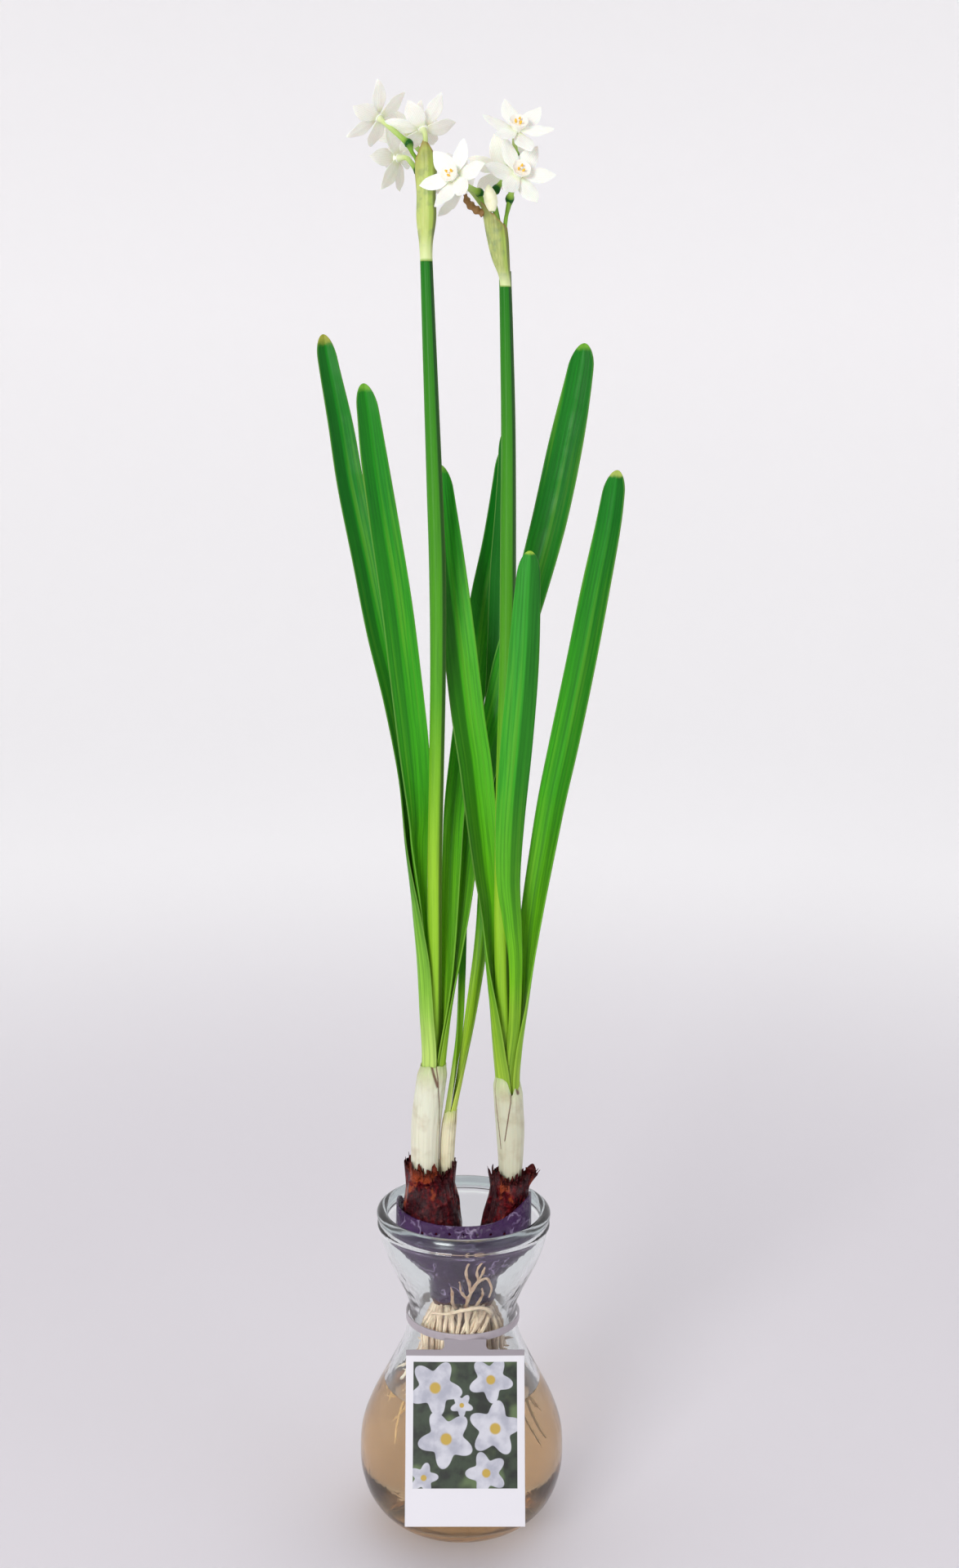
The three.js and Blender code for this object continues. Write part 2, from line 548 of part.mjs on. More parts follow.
function tagGeometry() {
  const { inside, wall, bottom, height } = LOOP;
  const loop = turned([
    [inside, bottom], [inside + wall, bottom], [inside + wall, bottom + height], [inside, bottom + height],
    [inside, bottom],
  ], 40);
  const [half, top] = [BRIDGE.width / 2, -BRIDGE.length];
  const [edge, r] = [CARD.width / 2, BRIDGE.fillet];
  const shape = new THREE.Shape();
  shape.moveTo(-half, 1);
  shape.lineTo(-half, top + r);
  shape.absarc(-half - r, top + r, r, 0, -Math.PI / 2, true);
  shape.lineTo(-edge, top);
  shape.lineTo(-edge, top - CARD.length);
  shape.lineTo(edge, top - CARD.length);
  shape.lineTo(edge, top);
  shape.lineTo(half + r, top);
  shape.absarc(half + r, top + r, r, -Math.PI / 2, -Math.PI, true);
  shape.lineTo(half, 1);
  const sheet = { depth: TAG_THICK, bevelEnabled: false, curveSegments: 4 };
  const card = new THREE.ExtrudeGeometry(shape, sheet);
  card.translate(0, 0, -TAG_THICK / 2);
  card.rotateZ(CARD.turn);
  card.rotateX(Math.PI / 2 - TAG_LEAN);
  card.translate(CARD.side, -(inside + wall / 2 + BRIDGE.proud), bottom + BRIDGE.raised);
  return join([loop, card]);
}

// ---- Bulbs

/** Ragged collar of dry tunic: a thin wall whose torn top edge flares out and has tall spikes. */
function collar({ x, y, z, halfWidth, halfDepth, low, high, flare, spikes, seed }) {
  const random = randomNumbers(seed);
  const teeth = Array.from({ length: COLLAR.sides }, (_, j) => {
    const turn = (360 * j) / COLLAR.sides;
    const tooth = { rise: low + (high - low) * random(), out: flare };
    spikes.forEach(([angle, rise, out]) => {
      const share = 1 - Math.abs(((turn - angle + 540) % 360) - 180) / COLLAR.spikeSpread;
      tooth.rise += rise * Math.max(0, share);
      tooth.out += out * Math.max(0, share);
    });
    return tooth;
  });
  const ring = (height, inset, spread) => {
    const level = oval(0, x, y, halfWidth - inset, halfDepth - inset, COLLAR.sides);
    return level.map((point, j) => {
      const outward = vec(point.x - x, point.y - y, 0).normalize();
      return point.setZ(z + height * teeth[j].rise).addScaledVector(outward, spread * teeth[j].out);
    });
  };
  const outside = [ring(-0.8, 0, 0), ring(0.5, 0, 0.3), ring(1, 0.2, 1)];
  const inside = [ring(1, COLLAR.wall, 1), ring(0.5, COLLAR.wall, 0.3), ring(-0.8, COLLAR.wall, 0)];
  return ringWall([...outside, ...inside]);
}

/** Hole in a bulb's neck that a sheath stands in. */
function socketGeometry({ rows: [[, x, y, halfWidth, halfDepth], [, topX, topY, topWidth, topDepth]] }) {
  const fit = 2 * CLEAR;
  return loft([
    oval(SOCKET.floor, x, y, halfWidth + fit, halfDepth + fit, SHEATH_SIDES),
    oval(SOCKET.floor + SOCKET.depth, topX, topY, topWidth + fit, topDepth + fit, SHEATH_SIDES),
  ]);
}

function bulbGeometry(rows, sockets, torn) {
  const flesh = loft(rows.map(([z, x, radius]) => oval(z, x, 0, radius, radius, BULB_SIDES)));
  const holes = sockets.map((sheath) => solid(socketGeometry(sheath)));
  return geometryOf(holes.reduce((rest, hole) => rest.subtract(hole), solid(join([flesh, collar(torn)]))));
}

// ---- Roots

/** One root: from the basal plate out to the waist, then down and outwards into the belly. */
function rootPath(plateX, angle, reach, depth, sway) {
  const [c, s] = [Math.cos(angle), Math.sin(angle)];
  const keepSide = (x) => (plateX < 0 ? Math.min(x, -ROOT_KEEP) : Math.max(x, ROOT_KEEP));
  const waist = ROOT_WAIST.radius * (0.45 + 0.55 * reach);
  const below = waist + 1.5;
  const belly = waist + (insideRadius(Math.max(depth, 30)) - 5 - waist) * reach;
  const spread = THREE.MathUtils.lerp(waist, belly, 0.65);
  return [
    [plateX + ROOT_PLATE.start * c, ROOT_PLATE.start * s, ROOT_TOP - 0.4],
    [keepSide(waist * c), waist * s, ROOT_WAIST.height],
    [keepSide(below * c), below * s + sway, ROOT_WAIST.below],
    [keepSide(spread * c), spread * s, (ROOT_WAIST.below + 2 * depth) / 3],
    [keepSide(belly * c), belly * s - sway, depth],
  ];
}

function rootPaths(side) {
  const random = randomNumbers(ROOT_SEED + side);
  const plateX = ROOT_PLATE.x * side;
  return Array.from({ length: ROOTS_EACH_SIDE }, (_, k) => {
    const around = ((k + 0.5) / ROOTS_EACH_SIDE - 0.5) * radians(176);
    const angle = side > 0 ? around : Math.PI - around;
    const depth = ROOT_DEPTHS[k % ROOT_DEPTHS.length] + 5 * random();
    return rootPath(plateX, angle, 0.72 + 0.28 * random(), depth, 3 * (random() - 0.5));
  });
}

function rootStrand(path, grow) {
  return strand(path, ROOT_RADII, 5, 4, grow);
}

function rootsGeometry(side, crossing) {
  const { x, radius, thick, sides } = ROOT_PLATE;
  const plate = new THREE.CylinderGeometry(radius, radius, thick, sides).rotateX(Math.PI / 2);
  plate.translate(x * side, 0, ROOT_TOP - 0.2);
  const strands = rootPaths(side).map((path) => rootStrand(path, 0));
  return join([plate, ...strands, ...crossing]);
}

/** A root of the right bulb that wanders across the front of the left bulb's roots. */
function crossingRoot() {
  return strand(CROSSING_ROOT, CROSSING_RADII, 12, 5);
}

// ---- Sheaths

function sheathGeometry({ rows, floor }) {
  const outside = rows.map((row) => oval(...row, SHEATH_SIDES));
  const inside = rows.filter(([z]) => z >= floor).map(([z, x, y, halfWidth, halfDepth]) => (
    oval(z, x, y, halfWidth - SHEATH_WALL, halfDepth - SHEATH_WALL, SHEATH_SIDES)
  ));
  return loft([...outside, ...inside.reverse()]);
}

// ---- Leaves

/** Half the width lost towards a tip: a quarter of an ellipse over the tip's length. */
function tipShare(below) {
  const share = Math.min(1, below / LEAF_TIP);
  return Math.sqrt(1 - (1 - share) ** 2);
}

/** One station of a leaf: points across its hollow face (side 1) or its outer face (side -1). */
function leafRow([z, x, y, fullWidth, facing, curl], top, side) {
  const width = Math.max(0.9, fullWidth * tipShare(top - z));
  const hollow = vec(Math.cos(radians(facing)), Math.sin(radians(facing)), 0);
  const sideways = vec(-hollow.y, hollow.x, 0);
  const bend = width / 2 / radians(curl);
  const upper = THREE.MathUtils.smoothstep(z, ...LEAF_THICKENS);
  const thick = THREE.MathUtils.lerp(LEAF_BASE_THICK, LEAF_THICK, upper);
  return [-1, -0.55, 0, 0.55, 1].map((across) => {
    const angle = radians(curl) * across;
    const depth = bend - (bend - (side * thick * (1 - 0.4 * across * across)) / 2) * Math.cos(angle);
    const reach = (bend - (side * thick * (1 - 0.4 * across * across)) / 2) * Math.sin(angle);
    return vec(x, y, z).addScaledVector(sideways, reach).addScaledVector(hollow, depth);
  });
}

function leafGeometry(rows) {
  const last = rows.length - 1;
  const top = rows[last][0];
  const stations = [...rows.keys()].slice(0, -1);
  stations.push(last - 0.35, last);
  const face = (side) => stations.map((at) => leafRow(smoothRows(rows, at), top, side));
  return sheetSolid(face(1), face(-1));
}

// ---- Flowers

/** Turns a shape made round the upright axis so that it faces a direction and sits at a point. */
function place(geometry, at, faces, turn) {
  const facing = new THREE.Quaternion().setFromUnitVectors(vec(0, 0, 1), vec(...faces).normalize());
  geometry.rotateZ(radians(turn));
  geometry.applyQuaternion(facing);
  return geometry.translate(...at);
}

function petalGeometry(k) {
  const { halfWidth, base } = k % 2 === 1 ? INNER_PETAL : OUTER_PETAL;
  const face = (side) => PETAL.rows.map(([along, share]) => [1, 0, -1].map((u) => {
    const across = u * halfWidth * share;
    const lift = PETAL_LIFT * along * along - PETAL_ARCH * across * across;
    return vec(along, across, base + lift + PETAL.thick * 0.5 * side);
  }));
  return sheetSolid(face(1), face(-1)).rotateZ(radians(60 * k));
}

function bloomGeometry({ at, faces, turn }) {
  const cup = turned(CUP, 6).rotateZ(radians(30));
  const petals = Array.from({ length: 6 }, (_, k) => petalGeometry(k));
  const { out, height, halfWidth, halfLength } = ANTHER;
  const anthers = [0, 120, 240].map(radians).map((angle) => (
    new THREE.OctahedronGeometry(1).scale(halfWidth, halfWidth, halfLength)
      .translate(out * Math.cos(angle), out * Math.sin(angle), height)
  ));
  return place(join([cup, ...petals, ...anthers]), at, faces, turn);
}

/** Stalk, ovary and tube of one floret, from the top of the stem to the back of the petals. */
function floretStalk(stemTop, { at, faces, ovary, via }) {
  const away = vec(...faces).normalize();
  const end = vec(...at).addScaledVector(away, -FLORET_BACK - CLEAR);
  const tube = end.clone().addScaledVector(away, -4);
  const middle = vec(...ovary);
  const along = tube.clone().sub(middle).normalize();
  const above = middle.clone().addScaledVector(along, 3);
  const below = middle.clone().addScaledVector(along, -1.5).add(vec(0, 0, -2));
  const curve = new THREE.CatmullRomCurve3([vec(...stemTop), vec(...via), below, middle, above, tube, end]);
  const radii = STALK_RADII.map((radius) => [radius]);
  return loft(STALK_RINGS.map((k) => {
    const share = k / (radii.length - 1);
    const centre = curve.getPoint(share);
    const [radius] = smoothRows(radii, k);
    const turnTo = new THREE.Quaternion().setFromUnitVectors(vec(0, 0, 1), curve.getTangent(share));
    return oval(0, 0, 0, radius, radius, STALK_SIDES).map((p) => p.applyQuaternion(turnTo).add(centre));
  }));
}

/** Where a stem's stalks begin, a little below its top. */
function stalkStart(rows) {
  const [z, x, y] = rows[rows.length - 1];
  return [x, y, z - 4];
}

function stemGeometry(rows, florets, extras) {
  const rings = rows.map(([z, x, y, halfWidth]) => {
    const ring = oval(z, x, y, halfWidth, halfWidth * STEM.depth, STEM.sides);
    ring[0].x += STEM.ridge;
    ring[STEM.sides / 2].x -= STEM.ridge;
    return ring;
  });
  const stalks = Object.values(florets).map((floret) => floretStalk(stalkStart(rows), floret));
  return join([loft(rings), ...stalks, ...extras]);
}

function spatheGeometry({ rows, low, peak, sharp }) {
  const sides = 14;
  const [bottom, top] = [rows[0][0], rows[rows.length - 1][0]];
  const rowAt = (z) => {
    const i = Math.min(rows.length - 2, Math.max(0, rows.findIndex(([height]) => height > z) - 1));
    const share = (z - rows[i][0]) / (rows[i + 1][0] - rows[i][0]);
    return rows[i].map((value, k) => THREE.MathUtils.lerp(value, rows[i + 1][k], Math.min(1, share)));
  };
  const ring = (share, inset) => Array.from({ length: sides }, (_, j) => {
    const angle = (2 * Math.PI * j) / sides;
    const rise = low + (1 - low) * Math.cos((angle - radians(peak)) / 2) ** (2 * sharp);
    const [z, x, y, radius] = rowAt(bottom + (top - bottom) * share * rise);
    return vec(x + (radius - inset) * Math.cos(angle), y + (radius - inset) * Math.sin(angle), z);
  });
  const shares = [0, 0.2, 0.45, 0.75, 1];
  const outside = shares.map((share) => ring(share, 0));
  const inside = shares.map((share) => ring(share, SPATHE_WALL)).reverse();
  return ringWall([...outside, ...inside]);
}

/** Withered tip of the right spathe, curled over to the left. */
function witheredTip() {
  const path = [[4.6, 0.6, 590.4], [1, -0.4, 591.6], [-2.6, -1, 594.4], [-3.6, -1.2, 597.8]];
  return strand(path, [1.3, 1.2, 1, 0.6], 5, 6);
}

/** Stalk of the closed bud, up from inside the right spathe. */
function budStalk() {
  const [x, y, z] = BUD.bottom;
  return strand([stalkStart(RIGHT_STEM), BUD.via, [x, y, z - 2.5 * CLEAR]], [0.9, 0.8, 0.9], 5, 5);
}

function budGeometry() {
  const [from, to] = [vec(...BUD.bottom), vec(...BUD.top)];
  return loft(BUD_RINGS.map(([along, share]) => {
    const { x, y, z } = from.clone().lerp(to, along);
    return oval(z, x, y, BUD.radius * share, BUD.radius * share, 8);
  }));
}

// ---------------------------------------------------------------- assembly

const leftRoots = rootsGeometry(-1, []);
const rightRoots = rootsGeometry(1, [crossingRoot()]);
const rootHoles = [-1, 1].flatMap((side) => rootPaths(side).map((path) => rootStrand(path, 0.5)));

addPiece('glass_vase', vaseGeometry(), clearGlass);
addPiece('water', waterGeometry(rootHoles), water);
addPiece('bulb_sleeve', sleeveGeometry(), COLOURS.sleeve);
addPiece('neck_tag', tagGeometry(), COLOURS.tag);

addPiece('bulb_left', bulbGeometry(LEFT_BULB, [LEFT_SHEATH, OFFSET_SHEATH], LEFT_COLLAR), COLOURS.tunic);
addPiece('bulb_right', bulbGeometry(RIGHT_BULB, [RIGHT_SHEATH], RIGHT_COLLAR), COLOURS.tunic);
addPiece('roots_left', leftRoots, COLOURS.root);
addPiece('roots_right', rightRoots, COLOURS.root);

addPiece('sheath_left', sheathGeometry(LEFT_SHEATH), COLOURS.sheath);
addPiece('sheath_offset', sheathGeometry(OFFSET_SHEATH), COLOURS.sheath);
addPiece('sheath_right', sheathGeometry(RIGHT_SHEATH), COLOURS.sheath);

Object.entries(LEAVES).forEach(([name, rows]) => {
  addPiece(name, leafGeometry(rows), name.includes('offset') ? COLOURS.youngLeaf : COLOURS.leaf);
});

addPiece('stem_left', stemGeometry(LEFT_STEM, LEFT_FLORETS, []), COLOURS.stem);
addPiece('stem_right', stemGeometry(RIGHT_STEM, RIGHT_FLORETS, [budStalk()]), COLOURS.stem);

addPiece('spathe_right', join([spatheGeometry(RIGHT_SPATHE), witheredTip()]), COLOURS.spathe);
addPiece('spathe_left', spatheGeometry(LEFT_SPATHE), COLOURS.spathe);

Object.entries({ ...LEFT_FLORETS, ...RIGHT_FLORETS }).forEach(([name, floret]) => {
  addPiece(name, bloomGeometry(floret), COLOURS.petal);
});
addPiece('flower_bud', budGeometry(), COLOURS.bud);

export default group;
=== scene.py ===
"""Two paperwhite narcissus bulbs flowering in water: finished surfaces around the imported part.

Shapes are worked out in millimetres as numpy arrays and become meshes in metres, in the part's own frame:
+Z up, the origin in the middle of the vase's foot and the front towards -Y.
"""

from __future__ import annotations

import logging
import math
from collections.abc import Callable, Sequence
from dataclasses import dataclass, field
from enum import Enum

import bpy
import numpy as np
from mathutils import Euler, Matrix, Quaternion

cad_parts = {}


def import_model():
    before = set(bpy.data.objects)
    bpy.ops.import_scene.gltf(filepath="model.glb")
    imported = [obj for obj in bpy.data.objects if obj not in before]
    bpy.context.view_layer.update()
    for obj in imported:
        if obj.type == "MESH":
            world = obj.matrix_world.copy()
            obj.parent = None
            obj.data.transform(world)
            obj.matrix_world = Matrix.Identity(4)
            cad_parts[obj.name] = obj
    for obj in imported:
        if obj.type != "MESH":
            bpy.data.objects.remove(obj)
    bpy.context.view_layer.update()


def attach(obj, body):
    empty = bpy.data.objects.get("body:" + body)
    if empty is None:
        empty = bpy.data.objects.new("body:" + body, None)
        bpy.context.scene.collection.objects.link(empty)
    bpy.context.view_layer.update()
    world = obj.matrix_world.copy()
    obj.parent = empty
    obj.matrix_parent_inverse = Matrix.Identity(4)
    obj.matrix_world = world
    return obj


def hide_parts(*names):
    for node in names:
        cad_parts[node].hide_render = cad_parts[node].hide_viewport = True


LOG = logging.getLogger("paperwhites")
MM = 0.001
TRACE = "trace"  # surface mark of each point: three numbers, which each finish explains
Rows = Sequence[Sequence[float]]
Span = tuple[float, float]
Point = tuple[float, float, float]
Colour = tuple[float, float, float]
Wave = Callable[[np.ndarray, np.ndarray], np.ndarray]


# ------------------------ curves and rings


def spline(rows: Rows, at: np.ndarray) -> np.ndarray:
    """Reads smooth values between rows of numbers: a Catmull-Rom cubic whose end rows count twice.

    Args:
        rows: Rows of equally many numbers.
        at: Fractional row numbers.

    Returns:
        One row of numbers for each value of at.
    """
    table = np.asarray(rows, float)
    last = len(table) - 1
    index = np.clip(np.floor(at).astype(int), 0, last - 1)
    t = (np.asarray(at) - index)[:, None]
    a, b = table[np.maximum(index - 1, 0)], table[index]
    c, d = table[index + 1], table[np.minimum(index + 2, last)]
    bend = (2 * a - 5 * b + 4 * c - d) * t + (3 * b - a - 3 * c + d) * t * t
    return b + 0.5 * t * (c - a + bend)


def through(rows: Rows, count: int) -> np.ndarray:
    """Smooth values at evenly spaced places from the first row to the last."""
    return spline(rows, np.linspace(0, len(rows) - 1, count))


def smooth(value: np.ndarray, low: float, high: float) -> np.ndarray:
    """Rises from 0 at low to 1 at high with a smooth start and end: 3 t^2 - 2 t^3."""
    t = np.clip((value - low) / (high - low), 0, 1)
    return t * t * (3 - 2 * t)


def bell(value: np.ndarray, width: float) -> np.ndarray:
    """Falls from 1 at 0 towards 0 on both sides: exp(-(value / width)^2)."""
    return np.exp(-((value / width) ** 2))


def turns(sides: int) -> np.ndarray:
    """Angles of equally spaced points once round."""
    return np.arange(sides) * 2 * math.pi / sides


def outward(angles: np.ndarray) -> np.ndarray:
    """Level vectors of length 1 at these angles: cosine and sine."""
    return np.stack([np.cos(angles), np.sin(angles)], -1)


def apart(degrees: np.ndarray, turn: float | np.ndarray) -> np.ndarray:
    """Degrees between two turns the short way round, from 0 to 180."""
    return np.abs((degrees - turn + 540) % 360 - 180)


def unit(vectors: np.ndarray) -> np.ndarray:
    """Vectors of length 1 in the same directions."""
    return vectors / np.maximum(np.linalg.norm(vectors, axis=-1, keepdims=True), 1e-9)


def squarish(angles: np.ndarray, power: float) -> tuple[np.ndarray, np.ndarray]:
    """Cosine and sine to a power with their signs kept: 1 gives a circle, less a squarer curve."""
    c, s = np.cos(angles), np.sin(angles)
    return np.sign(c) * np.abs(c) ** power, np.sign(s) * np.abs(s) ** power


def ovals(rows: np.ndarray, angles: np.ndarray, squareness: float = 2) -> np.ndarray:
    """Level rings: middle + (half width * cos, half depth * sin), each to the power 2 / squareness.

    Args:
        rows: Height, x, y, half width and half depth of each ring.
        angles: Turns of the ring's points.
        squareness: 2 gives an ellipse, more a squarer oval.

    Returns:
        Points as rings x angles x 3.
    """
    z, x, y, wide, deep = (rows[:, k, None] for k in range(5))
    across, along = squarish(angles, 2 / squareness)
    return np.stack([x + wide * across, y + deep * along, z + 0 * across], -1)


def rounds(heights: np.ndarray, radii: np.ndarray, sides: int, middle: Sequence = (0, 0)) -> np.ndarray:
    """Round level rings.

    Args:
        heights: Height of each ring.
        radii: Radius of each ring.
        sides: Points in each ring.
        middle: x and y of the rings' middles, for all of them or for each.

    Returns:
        Points as rings x sides x 3.
    """
    return ovals(np.stack(np.broadcast_arrays(heights, *middle, radii, radii), 1), turns(sides))


def up_and_down(outer: np.ndarray, inner: np.ndarray) -> np.ndarray:
    """Rings up an outer face and down an inner one."""
    return np.concatenate([outer, inner[::-1]])


def there_and_back(front: np.ndarray, back: np.ndarray) -> np.ndarray:
    """Rings along a blade's front face and back along the other, whose edge points are left out."""
    return np.concatenate([front, back[:, -2:0:-1]], 1)


def tube(path: np.ndarray, radii: np.ndarray, sides: int) -> np.ndarray:
    """Round rings square to a path: point + radius * (cos * one side + sin * the other side).

    Args:
        path: Points of the middle line.
        radii: Radius at each point.
        sides: Points in each ring.

    Returns:
        Points as rings x sides x 3.
    """
    heading = unit(np.gradient(path, axis=0))
    reference = np.eye(3)[np.argmin(np.abs(heading).max(0))]
    first = unit(np.cross(heading, reference))
    second = np.cross(heading, first)
    angle = turns(sides)[None, :, None]
    offset = first[:, None] * np.cos(angle) + second[:, None] * np.sin(angle)
    return path[:, None] + radii[:, None, None] * offset


def ripple(seed: int, count: int, lowest: int, highest: int) -> Wave:
    """Makes an uneven wave round a ring: sines in the angle, each drifting with the height.

    Args:
        seed: Start of the random draws.
        count: Number of sines.
        lowest: Fewest waves once round.
        highest: Most waves once round.

    Returns:
        A function of angle and height that mostly stays between -1 and 1.
    """
    random = np.random.default_rng(seed)
    waves = random.integers(lowest, highest + 1, count)
    phase, drift = random.uniform(0, 6.28, count), random.uniform(-0.3, 0.3, count)

    def value(angle: np.ndarray, height: np.ndarray) -> np.ndarray:
        """Sum of the sines at an angle and height, over their number to the power 0.7."""
        return sum(np.sin(w * angle + p + d * height) for w, p, d in zip(waves, phase, drift)) / count ** 0.7

    return value


# ------------------------ meshes


@dataclass
class Shape:
    """Points, faces and surface marks of one piece while it is put together, in millimetres."""

    points: list[np.ndarray] = field(default_factory=list)
    faces: list[list[int]] = field(default_factory=list)
    marks: list[np.ndarray] = field(default_factory=list)
    finishes: list[int] = field(default_factory=list)
    size: int = 0

    def keep(self, points: np.ndarray, faces: list[list[int]], marks: np.ndarray, finish: int) -> None:
        """Adds points with their marks, and faces that count from the first of these points.

        Args:
            points: The points.
            faces: Faces as numbers of points.
            marks: Surface marks of the points.
            finish: Number of the material.
        """
        self.points.append(points)
        self.marks.append(marks)
        self.faces += [[k + self.size for k in face] for face in faces]
        self.finishes += [finish] * len(faces)
        self.size += len(points)

    def loft(
        self, rings: np.ndarray, marks: np.ndarray | None = None, finish: int = 0, closed: bool = False
    ) -> None:
        """Adds a skin over rings of points; an open stack gets a fan round the middle of each end.

        Args:
            rings: Points as rings x sides x 3.
            marks: Surface marks of the same shape.
            finish: Number of the material.
            closed: Joins the last ring to the first.
        """
        count, sides = rings.shape[:2]
        marks = np.zeros_like(rings) if marks is None else np.broadcast_to(marks, rings.shape)
        index = np.arange(count * sides).reshape(count, sides)
        above = np.roll(index, -1, 0) if closed else index[1:]
        below = index if closed else index[:-1]
        quads = np.stack([below, np.roll(below, -1, 1), np.roll(above, -1, 1), above], -1)
        faces = quads.reshape(-1, 4).tolist()
        points, traced = rings.reshape(-1, 3), marks.reshape(-1, 3)
        if not closed:
            points = np.concatenate([points, rings[0].mean(0)[None], rings[-1].mean(0)[None]])
            traced = np.concatenate([traced, marks[0].mean(0)[None], marks[-1].mean(0)[None]])
            first, last = index[0], index[-1]
            faces += [[count * sides, int(b), int(a)] for a, b in zip(first, np.roll(first, -1))]
            faces += [[count * sides + 1, int(a), int(b)] for a, b in zip(last, np.roll(last, -1))]
        self.keep(points, outside_out(points, faces), traced, finish)

    def make(
        self, name: str, materials: Sequence[bpy.types.Material], crease: float = 50
    ) -> bpy.types.Object:
        """Turns the shape into an object at the origin.

        Args:
            name: Name of the piece.
            materials: Its materials, in the order of the finish numbers.
            crease: Edges sharper than this many degrees stay sharp.

        Returns:
            The new object.
        """
        mesh = bpy.data.meshes.new(name)
        mesh.from_pydata((np.concatenate(self.points) * MM).tolist(), [], self.faces)
        for material in materials:
            mesh.materials.append(material)
        mesh.polygons.foreach_set("material_index", self.finishes)
        trace = mesh.attributes.new(TRACE, "FLOAT_VECTOR", "POINT")
        trace.data.foreach_set("vector", np.concatenate(self.marks).astype(np.float32).ravel())
        mesh.shade_smooth()
        mesh.set_sharp_from_angle(angle=math.radians(crease))
        mesh.update()
        piece = bpy.data.objects.new(name, mesh)
        bpy.context.scene.collection.objects.link(piece)
        return piece


def outside_out(points: np.ndarray, faces: list[list[int]]) -> list[list[int]]:
    """Faces of a closed body, all turned over if they enclose a negative volume.

    Args:
        points: Points of the body.
        faces: Its triangles and quads.

    Returns:
        Faces that all point outwards.
    """
    corners = np.array([face[:3] for face in faces] + [[f[0], f[2], f[3]] for f in faces if len(f) == 4])
    a, b, c = (points[corners[:, k]] for k in range(3))
    inside_out = np.einsum("ij,ij->", a, np.cross(b, c)) < 0
    return [face[::-1] for face in faces] if inside_out else faces


def settle(piece: bpy.types.Object, slot: str, *nodes: str) -> None:
    """Makes a piece ride on the plant's body and lets it stand for CAD nodes.

    Args:
        piece: The piece.
        slot: Not used.
        nodes: CAD nodes.
    """
    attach(piece, "root")
    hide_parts(*nodes)
    LOG.info("%s: %d faces, stands for %s", piece.name, len(piece.data.polygons), ", ".join(nodes))


# ------------------------ materials


def linear(colour: Colour) -> tuple[float, float, float, float]:
    """Scene colour of a screen colour given as 0 to 255.

    Args:
        colour: Red, green and blue.

    Returns:
        Red, green, blue and 1 for the light itself.
    """
    shares = [c / 255 for c in colour]
    red, green, blue = (s / 12.92 if s <= 0.04045 else ((s + 0.055) / 1.055) ** 2.4 for s in shares)
    return red, green, blue, 1


class Value:
    """A number in a material that varies over the surface, with the usual operators."""

    def __init__(self, shader: Shader, socket: bpy.types.NodeSocket) -> None:
        """Wraps one output socket."""
        self.shader = shader
        self.socket = socket

    def math(self, operation: str, *others: Value | float) -> Value:
        """Adds one Math node over this value and others."""
        node = self.shader.node("ShaderNodeMath", dict(enumerate((self, *others))), operation=operation)
        return Value(self.shader, node.outputs[0])

    def __add__(self, other: Value | float) -> Value:
        """Sum."""
        return self.math("ADD", other)

    def __mul__(self, other: Value | float) -> Value:
        """Product."""
        return self.math("MULTIPLY", other)

    def __sub__(self, other: Value | float) -> Value:
        """Difference."""
        return self.math("SUBTRACT", other)

    def __rsub__(self, other: float) -> Value:
        """Difference from a plain number."""
        return self * -1 + other

    def __abs__(self) -> Value:
        """Size without its sign."""
        return self.math("ABSOLUTE")

    def between(self, low: float, high: float, start: float = 0, end: float = 1) -> Value:
        """Runs smoothly from start at low to end at high.

        Args:
            low: Where the change starts.
            high: Where it ends.
            start: Result up to low.
            end: Result from high on.

        Returns:
            The result, which varies over the surface.
        """
        inputs = {0: self, 1: low, 2: high, 3: start, 4: end}
        node = self.shader.node("ShaderNodeMapRange", inputs, interpolation_type="SMOOTHSTEP")
        return Value(self.shader, node.outputs[0])

    def inside(self, low: float, high: float, blur: float) -> Value:
        """Mask that is 1 from low to high and 0 outside, with blurred ends."""
        return self.between(low - blur, low + blur) * self.between(high - blur, high + blur, 1, 0)


